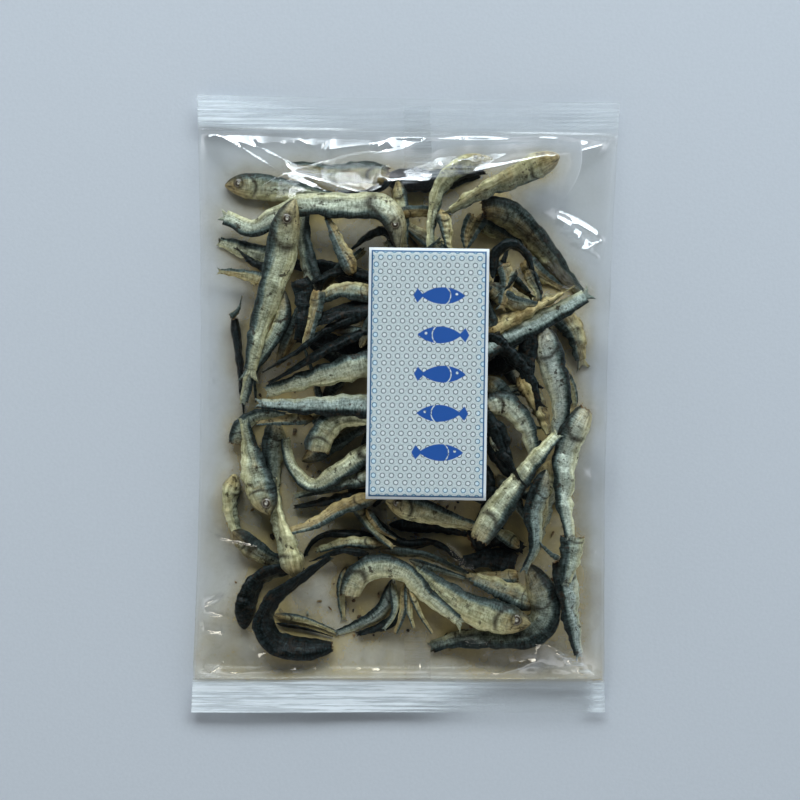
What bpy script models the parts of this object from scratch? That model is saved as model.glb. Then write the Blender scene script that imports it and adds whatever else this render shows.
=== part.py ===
"""Dried anchovies in a clear, heat-sealed pillow bag with a paper label.

The bag lies on its back with the label up: +X is the bag's right, +Y its top seal, +Z up.
Its size box is centred on the origin and stands on z = 0.
"""
import math

import bmesh
import bpy
from mathutils import Matrix, Vector

MM = 0.001

# The bag's corners as it lies, a little askew: left and right, at the top and the bottom seal.
TOP_LEFT = Vector((-73.6, 109.0)) * MM
TOP_RIGHT = Vector((75.7, 106.1)) * MM
BOTTOM_LEFT = Vector((-75.7, -109.0)) * MM
BOTTOM_RIGHT = Vector((70.4, -109.0)) * MM
BAG_LENGTH = 218.0 * MM
WAIST = 2.6 * MM             # how far each filled side is drawn in at half length
FILM_TOP = 18.6 * MM         # height of the upper film over the middle of the filling
SIDE_HEIGHT = 7.5 * MM       # height of the side folds at half length
END_CURVE = (4.0, 0.62)      # powers that round the filling towards the seals
SIDE_CURVE = (3.4, 0.55)     # and towards the side folds
BACK_FLATNESS = 1.45         # above 1, the back is pressed flat where the bag is full
POUCH_ROWS, POUCH_COLUMNS = 25, 20
EDGE_CROWDING = 0.72         # below 1, rows and columns crowd towards the edges, where it curves

SEAL_WIDTH = 12.0 * MM
SEAL_HEIGHT = 4.0 * MM       # the end seals stand clear of the table
SEAL_THICKNESS = 0.9 * MM
CRIMP_COUNT = 8
CRIMP_DEPTH = 0.35 * MM
SEAL_OVERLAP = 1.0 * MM      # how far the pouch reaches into a seal, to join it

SEAM_LEFT, SEAM_RIGHT = -0.5 * MM, 9.0 * MM  # the back seam's fin, pressed flat under the bag
SEAM_THICKNESS = 0.6 * MM
SEAM_EDGE = 0.4 * MM         # width of the step at each edge of the fin
FIN_INSET = 0.982            # the fin ends this far along, inside both seals

LABEL_SIZE = Vector((41.4, 86.6, 0.5)) * MM
LABEL_PLACE = Vector((7.5, 10.2)) * MM
LABEL_TURN = math.radians(-0.8)
LABEL_GAP = 0.3 * MM
BED_TOP = FILM_TOP + 2.6 * MM  # flat of the film that the label is stuck on
BED_MARGIN = 1.0 * MM
BED_DEPTH = 4.0 * MM

# The heap of fish lies a little off the middle of the bag.
HEAP_PLACE = Vector((-0.9, -0.9)) * MM
FISH_SIDES = 8
FISH_STATION = 6.5 * MM      # spacing of the rings that a fish is lofted through
TOP, MIDDLE, LOW = -0.6 * MM, 0.2 * MM, 1.0 * MM  # how deep a fish's middle lies below the film
SIDE_UP, BACK_UP = 0.6, 1.0                       # height of a fish against the width it shows

# Each fish that shows: how deep it lies, how it is turned, its widest part in millimetres and the
# points that its back passes, from head to tail, in millimetres from the middle of the heap.
FISH = (
    (TOP, SIDE_UP, 9.0, ((-63, 78), (-45, 77), (-22, 74))),
    (MIDDLE, SIDE_UP, 7.0, ((-3, 80), (-22, 82), (-40, 85))),
    (LOW, BACK_UP, 4.5, ((-5, 78), (-22, 75))),
    (MIDDLE, SIDE_UP, 7.7, ((-1, 55), (-6, 66), (-14, 70), (-30, 70), (-47, 65), (-66, 69))),
    (TOP, SIDE_UP, 9.5, ((-38, 72), (-41, 60), (-47, 40), (-53, 10))),
    (MIDDLE, SIDE_UP, 7.5, ((-45, 51), (-55, 55), (-66, 59))),
    (LOW, SIDE_UP, 5.0, ((-45, 42), (-53, 45), (-66, 47))),
    (MIDDLE, BACK_UP, 5.0, ((-58, 36), (-57, 18), (-56, -6))),
    (LOW, SIDE_UP, 6.5, ((-19, 46), (-22, 55), (-26, 64))),
    (LOW, BACK_UP, 5.5, ((-20, 52), (-10, 60), (-2, 58))),
    (LOW, BACK_UP, 5.5, ((-12, 43), (-22, 47), (-32, 40))),
    (LOW, SIDE_UP, 6.0, ((-10, 34), (-24, 34))),
    (MIDDLE, SIDE_UP, 6.5, ((-36, 45), (-34, 34), (-36, 22))),
    (MIDDLE, SIDE_UP, 5.5, ((-42, 40), (-42, 28), (-52, 13), (-56, 0))),
    (TOP, SIDE_UP, 10.0, ((10, 17), (-14, 15), (-27, 12), (-49, 4))),
    (TOP, SIDE_UP, 8.5, ((5, -2), (-15, 0), (-30, 0), (-51, 2))),
    (LOW, BACK_UP, 5.5, ((-12, 33), (-27, 25), (-49, 11))),
    (LOW, BACK_UP, 5.5, ((-12, 27), (-28, 18), (-47, 8))),
    (MIDDLE, SIDE_UP, 4.0, ((-51, -6), (-42, -6), (-32, -4))),
    (TOP, SIDE_UP, 10.5, ((-47, -36), (-49, -22), (-49, -8))),
    (MIDDLE, SIDE_UP, 9.0, ((-29, -23), (-31, -14), (-22, -6))),
    (MIDDLE, SIDE_UP, 6.0, ((-8, -14), (-19, -20), (-31, -27), (-39, -20), (-42, -12))),
    (MIDDLE, SIDE_UP, 5.5, ((-12, -26), (-25, -30), (-38, -32))),
    (TOP, SIDE_UP, 4.5, ((-5, -32), (-24, -37), (-38, -43))),
    (LOW, SIDE_UP, 6.0, ((-60, -26), (-58, -38), (-50, -51), (-42, -56))),
    (MIDDLE, SIDE_UP, 9.0, ((-37, -58), (-42, -47), (-46, -38))),
    (LOW, BACK_UP, 6.0, ((-56, -79), (-55, -68), (-47, -58), (-36, -58))),
    (TOP, BACK_UP, 6.8, ((-24, -85), (-37, -87), (-47, -82), (-49, -74), (-40, -63), (-22, -52))),
    (MIDDLE, SIDE_UP, 4.5, ((-25, -81), (-15, -76), (-7, -70), (-3, -60))),
    (TOP, SIDE_UP, 8.0, ((-19, -66), (-15, -58), (-8, -56), (0, -58), (9, -68), (20, -76))),
    (MIDDLE, SIDE_UP, 5.0, ((1, -62), (0, -72), (-3, -81))),
    (LOW, SIDE_UP, 4.0, ((3, -64), (6, -73), (10, -80))),
    (LOW, SIDE_UP, 4.0, ((-9, -48), (-20, -48), (-36, -54))),
    (TOP, SIDE_UP, 10.0, ((43, -76), (24, -72), (12, -63), (5, -58))),
    (MIDDLE, BACK_UP, 7.0, ((44, -56), (51, -69), (44, -79), (27, -81), (8, -86))),
    (MIDDLE, SIDE_UP, 8.5, ((56, -53), (58, -67), (61, -88))),
    (MIDDLE, SIDE_UP, 8.5, ((24, -42), (8, -37), (-4, -34))),
    (LOW, BACK_UP, 6.0, ((-14, -37), (-6, -45), (9, -50), (23, -58))),
    (LOW, BACK_UP, 7.0, ((38, -56), (24, -58))),
    (LOW, SIDE_UP, 7.0, ((44, -64), (30, -63))),
    (TOP, SIDE_UP, 8.5, ((64, 0), (58, -11), (56, -30), (58, -48))),
    (MIDDLE, SIDE_UP, 8.5, ((49, 28), (52, 12), (54, -9))),
    (LOW, SIDE_UP, 5.5, ((63, 15), (61, 24), (55, 31))),
    (TOP, SIDE_UP, 9.0, ((15, 14), (31, 20), (47, 30), (64, 39))),
    (LOW, SIDE_UP, 5.0, ((31, 28), (44, 34), (54, 38))),
    (MIDDLE, BACK_UP, 5.0, ((30, 46), (34, 54), (41, 54), (46, 45), (47, 37))),
    (LOW, SIDE_UP, 6.5, ((41, 10), (46, 2), (48, -9))),
    (MIDDLE, SIDE_UP, 5.5, ((27, 2), (36, 0), (42, -6), (44, -16))),
    (TOP, SIDE_UP, 8.0, ((25, -48), (36, -31), (44, -20), (53, -10))),
    (MIDDLE, BACK_UP, 5.0, ((51, -13), (43, -32), (41, -57))),
    (LOW, SIDE_UP, 8.0, ((49, -21), (49, -46))),
    (MIDDLE, SIDE_UP, 8.5, ((25, 67), (33, 70), (42, 64), (52, 53), (64, 38))),
    (MIDDLE, SIDE_UP, 8.0, ((53, 88), (40, 80), (27, 74), (16, 68))),
    (TOP, SIDE_UP, 5.0, ((29, 85), (19, 81), (11, 70), (9, 53))),
    (LOW, SIDE_UP, 7.0, ((-4, 80), (12, 79), (27, 81))),
    (LOW, SIDE_UP, 5.0, ((-1, 77), (0, 68), (1, 57))),
)

# Half of a fish's width, and of its height, at stations from snout (0) to tail fin (1).
BODY_WIDTH = ((0.0, 0.16), (0.07, 0.68), (0.2, 1.0), (0.42, 0.94), (0.65, 0.66), (0.9, 0.26), (1.0, 0.5))
BODY_HEIGHT = ((0.0, 0.2), (0.07, 0.7), (0.2, 1.0), (0.42, 0.95), (0.65, 0.7), (0.9, 0.3), (1.0, 0.14))


def clear_scene():
    for thing in list(bpy.data.objects):
        bpy.data.objects.remove(thing, do_unlink=True)


def material(name, colour, roughness):
    """A plain Principled finish."""
    made = bpy.data.materials.new(name)
    made.use_nodes = True
    shader = made.node_tree.nodes["Principled BSDF"]
    shader.inputs["Base Color"].default_value = (*colour, 1.0)
    shader.inputs["Roughness"].default_value = roughness
    shader.inputs["Metallic"].default_value = 0.0
    made.diffuse_color = (*colour, 1.0)
    return made


def mesh_object(name, points, faces, collection):
    """A closed mesh object with its faces turned outwards."""
    mesh = bpy.data.meshes.new(name)
    mesh.from_pydata(points, [], faces)
    shape = bmesh.new()
    shape.from_mesh(mesh)
    bmesh.ops.recalc_face_normals(shape, faces=shape.faces)
    shape.to_mesh(mesh)
    shape.free()
    made = bpy.data.objects.new(name, mesh)
    collection.objects.link(made)
    return made


def between(stations, place):
    """The value at a place along a row of (place, value) stations, in straight lines."""
    for (start, low), (end, high) in zip(stations, stations[1:]):
        if place <= end:
            return low + (high - low) * (place - start) / (end - start)
    return stations[-1][1]


def filled(along):
    """How much of its full height the bag has, at a place along it: 0 at a seal, 1 at half length."""
    inner = 1.0 - SEAL_WIDTH / (BAG_LENGTH / 2)
    return max(0.0, 1.0 - abs(along / inner) ** END_CURVE[0]) ** END_CURVE[1]


def on_bag(across, along):
    """The place on the table under a point of the bag, across and along it from -1 to 1."""
    left = BOTTOM_LEFT.lerp(TOP_LEFT, (along + 1) / 2)
    right = BOTTOM_RIGHT.lerp(TOP_RIGHT, (along + 1) / 2)
    drawn_in = WAIST * (1.0 - along**2)
    left.x += drawn_in
    right.x -= drawn_in
    return left.lerp(right, (across + 1) / 2)


def across_along(place):
    """The inverse of on_bag, near enough for a place on the table."""
    along = place.y / (BAG_LENGTH / 2)
    left, right = on_bag(-1, along), on_bag(1, along)
    return 2 * (place.x - left.x) / (right.x - left.x) - 1, along


def bulge(across, along):
    """How full the bag is at a point of it, from 0 at its edges to 1."""
    return filled(along) * max(0.0, 1.0 - abs(across) ** SIDE_CURVE[0]) ** SIDE_CURVE[1]


def edge_height(along):
    return SEAL_HEIGHT + (SIDE_HEIGHT - SEAL_HEIGHT) * filled(along)


def film_height(across, along):
    """Height of the upper film."""
    edge = edge_height(along)
    return edge + (FILM_TOP - edge) * bulge(across, along)


def back_height(across, along):
    """Height of the back film, flat on the table in the middle, with the seam's fin under it."""
    lifted = edge_height(along) * (1.0 - BACK_FLATNESS * bulge(across, along))
    x = on_bag(across, along).x
    if SEAM_LEFT <= x <= SEAM_RIGHT:
        lifted -= SEAM_THICKNESS
    return max(0.0, lifted)


def spaced(count):
    """Places from -1 to 1, closer together near both ends."""
    even = (2 * i / (count - 1) - 1 for i in range(count))
    return [math.copysign(abs(t) ** EDGE_CROWDING, t) for t in even]


def make_pouch(collection):
    """The filled part: an upper and a lower film that meet along the sides and in both seals."""
    inner = 1.0 - (SEAL_WIDTH - SEAL_OVERLAP) / (BAG_LENGTH / 2)
    rows = [inner * t for t in spaced(POUCH_ROWS)]
    seam = [x + side * SEAM_EDGE / 2 for x in (SEAM_LEFT, SEAM_RIGHT) for side in (-1, 1)]
    columns = sorted(spaced(POUCH_COLUMNS) + [across_along(Vector((x, 0.0)))[0] for x in seam])
    points, top_index, back_index = [], {}, {}
    for j, along in enumerate(rows):
        for i, across in enumerate(columns):
            place = on_bag(across, along)
            at_side = i in (0, len(columns) - 1)
            wall = 0.0 if at_side else SEAL_THICKNESS * 0.4
            top_index[i, j] = len(points)
            points.append((place.x, place.y, film_height(across, along) + wall))
            if at_side:
                back_index[i, j] = top_index[i, j]
                continue
            back_index[i, j] = len(points)
            points.append((place.x, place.y, max(0.0, back_height(across, along) - wall)))
    faces = []
    for j in range(len(rows) - 1):
        for i in range(len(columns) - 1):
            corners = ((i, j), (i + 1, j), (i + 1, j + 1), (i, j + 1))
            faces.append([top_index[c] for c in corners])
            faces.append([back_index[c] for c in reversed(corners)])
    for j in (0, len(rows) - 1):
        for i in range(len(columns) - 1):
            ring = [top_index[i, j], top_index[i + 1, j], back_index[i + 1, j], back_index[i, j]]
            faces.append(list(dict.fromkeys(ring)))
    return mesh_object("bag", points, faces, collection)


def make_seal(name, end, collection):
    """One crimped end seal, a thin sheet with ribs pressed right across it; end is 1 or -1."""
    points = []
    for row in range(2 * CRIMP_COUNT + 1):
        along = end * (1.0 - row * SEAL_WIDTH / (2 * CRIMP_COUNT) / (BAG_LENGTH / 2))
        lift = CRIMP_DEPTH if row % 2 else 0.0
        for across in (-1, 1):
            place = on_bag(across, along)
            for side in (-0.5, 0.5):
                points.append((place.x, place.y, SEAL_HEIGHT + lift + side * SEAL_THICKNESS))
    faces = [(0, 1, 3, 2)]
    for row in range(2 * CRIMP_COUNT):
        a = 4 * row
        b = a + 4
        faces += [(a, a + 2, b + 2, b), (a + 1, b + 1, b + 3, a + 3), (a, b, b + 1, a + 1)]
        faces.append((a + 2, a + 3, b + 3, b + 2))
    last = 4 * (2 * CRIMP_COUNT)
    faces.append((last, last + 2, last + 3, last + 1))
    return mesh_object(name, points, faces, collection)


def slab(name, size, centre, angle, collection):
    """A flat block, turned by an angle about Z."""
    half = size / 2
    signs = [(x, y, z) for z in (-1, 1) for y in (-1, 1) for x in (-1, 1)]
    turn = Matrix.Rotation(angle, 3, "Z")
    points = [centre + turn @ Vector((x * half.x, y * half.y, z * half.z)) for x, y, z in signs]
    faces = [(0, 2, 3, 1), (4, 5, 7, 6), (0, 1, 5, 4), (2, 6, 7, 3), (0, 4, 6, 2), (1, 3, 7, 5)]
    return mesh_object(name, points, faces, collection)


def smooth_path(points, count):
    """Evenly spaced places on a smooth curve through the points."""
    padded = [2 * points[0] - points[1], *points, 2 * points[-1] - points[-2]]
    fine = []
    for a, b, c, d in zip(padded, padded[1:], padded[2:], padded[3:]):
        for step in range(12):
            t = step / 12
            fine.append(0.5 * (2 * b + (c - a) * t + (2 * a - 5 * b + 4 * c - d) * t**2
                               + (3 * b - a - 3 * c + d) * t**3))
    fine.append(points[-1])
    lengths = [0.0]
    for a, b in zip(fine, fine[1:]):
        lengths.append(lengths[-1] + (b - a).length)
    path = []
    for i in range(count):
        wanted = lengths[-1] * i / (count - 1)
        k = next(k for k in range(1, len(fine)) if lengths[k] >= wanted - 1e-9)
        share = (wanted - lengths[k - 1]) / (lengths[k] - lengths[k - 1])
        path.append(fine[k - 1].lerp(fine[k], share))
    return path


def under_label(place, margin):
    """Whether a place is under the label, or within a margin of it."""
    from_middle = place - LABEL_PLACE
    return abs(from_middle.x) < LABEL_SIZE.x / 2 + margin and abs(from_middle.y) < LABEL_SIZE.y / 2 + margin


def make_fish(name, sunk, turned, width, points, collection):
    """One fish pressed against the film, lofted along the line that it lies in."""
    spine = [Vector(p) * MM + HEAP_PLACE for p in points]
    length = sum((b - a).length for a, b in zip(spine, spine[1:]))
    count = max(6, min(11, round(length / (6.5 * MM))))
    path = smooth_path(spine, count)
    rings = []
    for i, place in enumerate(path):
        station = i / (count - 1)
        before, after = path[max(0, i - 1)], path[min(count - 1, i + 1)]
        ahead = (after - before).normalized()
        half_width = width * MM / 2 * between(BODY_WIDTH, station)
        half_height = width * MM / 2 * turned * between(BODY_HEIGHT, station)
        ring = []
        for k in range(FISH_SIDES):
            angle = 2 * math.pi * (k + 0.5) / FISH_SIDES
            out = math.cos(angle) * half_width
            spot = Vector((place.x - ahead.y * out, place.y + ahead.x * out))
            height = film_height(*across_along(spot)) - sunk
            if under_label(spot, BED_MARGIN):
                height = min(height, BED_TOP - half_height - BED_MARGIN / 2)
            ring.append((*spot, height + math.sin(angle) * half_height))
        rings.append(ring)
    faces = [list(range(FISH_SIDES)), list(range((count - 1) * FISH_SIDES, count * FISH_SIDES))]
    for i in range(count - 1):
        for k in range(FISH_SIDES):
            a, b = i * FISH_SIDES + k, i * FISH_SIDES + (k + 1) % FISH_SIDES
            faces.append((a, b, b + FISH_SIDES, a + FISH_SIDES))
    return mesh_object(name, [p for ring in rings for p in ring], faces, collection)


def make_bag(collection):
    """The whole filled bag as one solid: pouch, seals, the label's bed and the fish that show."""
    bag = make_pouch(collection)
    pressed = bpy.data.collections.new("pressed against the film")
    collection.children.link(pressed)
    make_seal("top_seal", 1, pressed)
    make_seal("bottom_seal", -1, pressed)
    fin_size = Vector((SEAM_RIGHT - SEAM_LEFT, SEAL_WIDTH, SEAL_THICKNESS + SEAM_THICKNESS))
    fin_middle, fin_height = (SEAM_LEFT + SEAM_RIGHT) / 2, SEAL_HEIGHT - SEAM_THICKNESS / 2
    for end in (-1, 1):
        reach = end * FIN_INSET * (BAG_LENGTH - SEAL_WIDTH) / 2
        slab("fin", fin_size, Vector((fin_middle, reach, fin_height)), 0.0, pressed)
    bed_size = Vector((LABEL_SIZE.x + BED_MARGIN, LABEL_SIZE.y + BED_MARGIN, BED_DEPTH))
    slab("bed", bed_size, Vector((*LABEL_PLACE, BED_TOP - BED_DEPTH / 2)), LABEL_TURN, pressed)
    for i, (sunk, turned, width, points) in enumerate(FISH):
        make_fish(f"fish_{i}", sunk, turned, width, points, pressed)
    union = bag.modifiers.new("union", "BOOLEAN")
    union.operation = "UNION"
    union.operand_type = "COLLECTION"
    union.collection = pressed
    union.solver = "EXACT"
    bpy.context.view_layer.update()
    joined = bpy.data.meshes.new_from_object(bag.evaluated_get(bpy.context.evaluated_depsgraph_get()))
    bag.modifiers.remove(union)
    bag.data = joined
    for thing in list(pressed.objects):
        bpy.data.objects.remove(thing, do_unlink=True)
    bpy.data.collections.remove(pressed)
    return bag


def main():
    clear_scene()
    collection = bpy.context.scene.collection
    bag = make_bag(collection)
    bag.data.materials.clear()
    bag.data.materials.append(material("film over dried fish", (0.19, 0.21, 0.19), 0.35))
    label_height = BED_TOP + LABEL_GAP + LABEL_SIZE.z / 2
    label = slab("label", LABEL_SIZE, Vector((*LABEL_PLACE, label_height)), LABEL_TURN, collection)
    label.data.materials.append(material("pale blue paper", (0.52, 0.60, 0.63), 0.7))


main()
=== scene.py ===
"""The looks of a clear bag of dried anchovies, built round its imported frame."""
import math

import bpy
import numpy as np
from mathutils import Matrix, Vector, noise


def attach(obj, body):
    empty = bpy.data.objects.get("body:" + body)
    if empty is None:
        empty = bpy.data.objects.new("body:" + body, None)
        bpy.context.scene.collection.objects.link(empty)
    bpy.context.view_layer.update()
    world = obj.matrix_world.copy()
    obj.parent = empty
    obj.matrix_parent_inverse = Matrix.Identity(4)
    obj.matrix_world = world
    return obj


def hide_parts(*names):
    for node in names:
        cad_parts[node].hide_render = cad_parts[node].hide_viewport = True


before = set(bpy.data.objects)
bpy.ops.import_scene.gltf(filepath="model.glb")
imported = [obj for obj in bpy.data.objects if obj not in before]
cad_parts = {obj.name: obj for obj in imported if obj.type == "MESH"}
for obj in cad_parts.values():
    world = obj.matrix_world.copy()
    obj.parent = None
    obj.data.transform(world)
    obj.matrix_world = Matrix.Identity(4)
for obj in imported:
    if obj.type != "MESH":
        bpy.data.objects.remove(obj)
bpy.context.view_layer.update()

# The table, the light and the camera. Cool window light comes from beyond the top seal, a little
# warm light from the lower left, and the camera looks straight down on the bag from 0.7 m.
MM = 0.001
scene = bpy.context.scene
CAMERA_PLACE = Vector((-1.97, 1.23, 700.0)) * MM
VIEW_WIDTH = 284.0 * MM      # what the picture spans on the table
camera = bpy.data.objects.new("camera", bpy.data.cameras.new("camera"))
camera.location = CAMERA_PLACE
camera.data.sensor_width = 36.0
camera.data.lens = 36.0 * CAMERA_PLACE.z / VIEW_WIDTH
camera.data.clip_start = 0.01
scene.collection.objects.link(camera)
scene.camera = camera


def area_light(name, place, target, size, power, colour):
    """A rectangular soft light that faces a target."""
    lamp = bpy.data.lights.new(name, "AREA")
    lamp.shape = "RECTANGLE"
    lamp.size, lamp.size_y = size
    lamp.energy = power
    lamp.color = colour
    made = bpy.data.objects.new(name, lamp)
    made.location = place
    made.rotation_euler = (Vector(target) - Vector(place)).to_track_quat("-Z", "Y").to_euler()
    scene.collection.objects.link(made)


area_light("window", (0.3, 1.45, 1.15), (0, 0, 0), (2.7, 0.85), 43.0, (0.86, 0.945, 1.0))
area_light("window_sky", (-0.40, 1.30, 1.25), (0, 0, 0), (0.13, 0.50), 4.0, (0.92, 0.97, 1.0))
area_light("warm_lamp", (-0.62, -1.15, 0.95), (0, 0, 0), (0.7, 0.3), 2.9, (1.0, 0.95, 0.84))
world = bpy.data.worlds.new("room")
world.use_nodes = True
scene.world = world
scene.view_settings.view_transform = "Standard"


class Shade:
    """A node's output in a material. Sums, products and powers of it become Math nodes."""

    def __init__(self, tree, socket=None):
        self.tree, self.socket = tree, socket

    def node(self, kind, inputs, output=0, stops=None, **settings):
        """Any node: its type, the values or links of its sockets, and its settings."""
        made = self.tree.nodes.new("ShaderNode" + kind)
        for name, value in settings.items():
            setattr(made, name, value)
        if stops:
            ramp = made.color_ramp
            ramp.elements[0].position, ramp.elements[1].position = stops[0][0], stops[-1][0]
            for place, _ in stops[1:-1]:
                ramp.elements.new(place)
            for element, (_, colour) in zip(ramp.elements, stops):
                element.color = (*colour, 1.0)
        for name, value in inputs.items():
            if isinstance(value, Shade):
                self.tree.links.new(value.socket, made.inputs[name])
            else:
                made.inputs[name].default_value = value
        return Shade(self.tree, made.outputs[output])

    def math(self, operation, *values, clamp=False):
        return self.node("Math", dict(enumerate(values)), operation=operation, use_clamp=clamp)

    def __add__(self, other):
        return self.math("ADD", self, other)

    def __sub__(self, other):
        return self.math("SUBTRACT", self, other)

    def __rsub__(self, other):
        return self.math("SUBTRACT", other, self)

    def __mul__(self, other):
        return self.math("MULTIPLY", self, other)

    def __truediv__(self, other):
        return self.math("DIVIDE", self, other)

    def __pow__(self, other):
        return self.math("POWER", self, other)

    def __mod__(self, other):
        return self.math("FLOORED_MODULO", self, other)

    def __abs__(self):
        return self.math("ABSOLUTE", self)

    __radd__, __rmul__ = __add__, __mul__

    def step(self, low, high):
        """Rises smoothly from 0 to 1 between two values, or falls where low is the higher one."""
        return self.node("MapRange", {"Value": self, "From Min": low, "From Max": high},
                         interpolation_type="SMOOTHSTEP")

    def between(self, first, second):
        """One colour where this is 0, the other where it is 1."""
        first, second = ((c if isinstance(c, Shade) else (*c, 1.0)) for c in (first, second))
        return self.node("Mix", {0: self, 6: first, 7: second}, output=2, data_type="RGBA")

    def split(self):
        """The three parts of a vector."""
        parts = self.node("SeparateXYZ", {"Vector": self}).socket.node.outputs
        return [Shade(self.tree, part) for part in parts]

    def attribute(self, name, output=2):
        return self.node("Attribute", {}, output=output, attribute_name=name)

    def noise(self, place, scale, detail=3.0, rough=0.55):
        return self.node("TexNoise", {"Vector": place, "Scale": scale, "Detail": detail, "Roughness": rough})

    def bump(self, height, distance, strength=1.0):
        return self.node("Bump", {"Height": height, "Distance": distance, "Strength": strength})


def finish(name, build):
    """A material whose Principled surface, or whole shader, is set by a function of its own."""
    made = bpy.data.materials.new(name)
    made.use_nodes = True
    tree = made.node_tree
    surface = tree.nodes["Principled BSDF"]
    shader = build(Shade(tree), surface)
    if shader is not None:
        tree.links.new(shader.socket, tree.nodes["Material Output"].inputs["Surface"])
    return made


def feed(surface, **sockets):
    """Sets or links the sockets of a Principled surface; a name's underscores are its spaces."""
    for name, value in sockets.items():
        socket = surface.inputs[name.replace("_", " ")]
        if isinstance(value, Shade):
            surface.id_data.links.new(value.socket, socket)
        elif socket.type == "RGBA":
            socket.default_value = (*value, 1.0)
        else:
            socket.default_value = value


def mesh_piece(name, points, faces, material=None):
    """A smooth-shaded mesh object."""
    mesh = bpy.data.meshes.new(name)
    mesh.from_pydata([tuple(p) for p in points], [], faces)
    mesh.shade_smooth()
    made = bpy.data.objects.new(name, mesh)
    scene.collection.objects.link(made)
    if material:
        mesh.materials.append(material)
    return made


# The room is bright near the floor and dark overhead, where the film would mirror it.
height_of_way = Shade(world.node_tree).node("TexCoord", {}).split()[2]
room = height_of_way.step(0.60, 0.15).between((0.03, 0.036, 0.04), (1.0, 1.05, 1.12))
backdrop = world.node_tree.nodes["Background"]
world.node_tree.links.new(room.socket, backdrop.inputs["Color"])
backdrop.inputs["Strength"].default_value = 1.10


def paint_table(shade, surface):
    """A matt, pale blue-grey table with a very fine grain."""
    place = shade.node("TexCoord", {}, output=3)
    grain = shade.noise(place, 900.0, 2.0)
    feed(surface, Base_Color=grain.step(0.2, 0.8).between((0.545, 0.585, 0.635), (0.57, 0.61, 0.66)),
         Roughness=0.85, Normal=shade.bump(grain, 0.00004))


TABLE_HALF, TABLE_GAP = 1.6, 0.1 * MM
table_corners = [(x, y, -TABLE_GAP) for x, y in ((-TABLE_HALF, -TABLE_HALF), (TABLE_HALF, -TABLE_HALF),
                                                 (TABLE_HALF, TABLE_HALF), (-TABLE_HALF, TABLE_HALF))]
table = mesh_piece("table", table_corners, [(0, 1, 2, 3)], finish("pale_table", paint_table))

# The fish: small anchovies boiled and dried whole, laid in a loose heap two to four deep.
# Each one is lofted along the line that it lies in, and settled on those already in the heap.
HEAP_PLACE = np.array((-0.9, -0.9)) * MM
HEAP_FLOOR, LOWEST = 0.9 * MM, 0.75 * MM
PATCH = 0.5 * MM             # grid of the heap's height
PATCHES = (320, 460)
STIFFNESS = 0.22             # the steepest that a dried fish leans on the ones below
HEAP_TOP = 20.4 * MM
NESTING = 0.8                # fish settle into each other by the rest of their height

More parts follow.
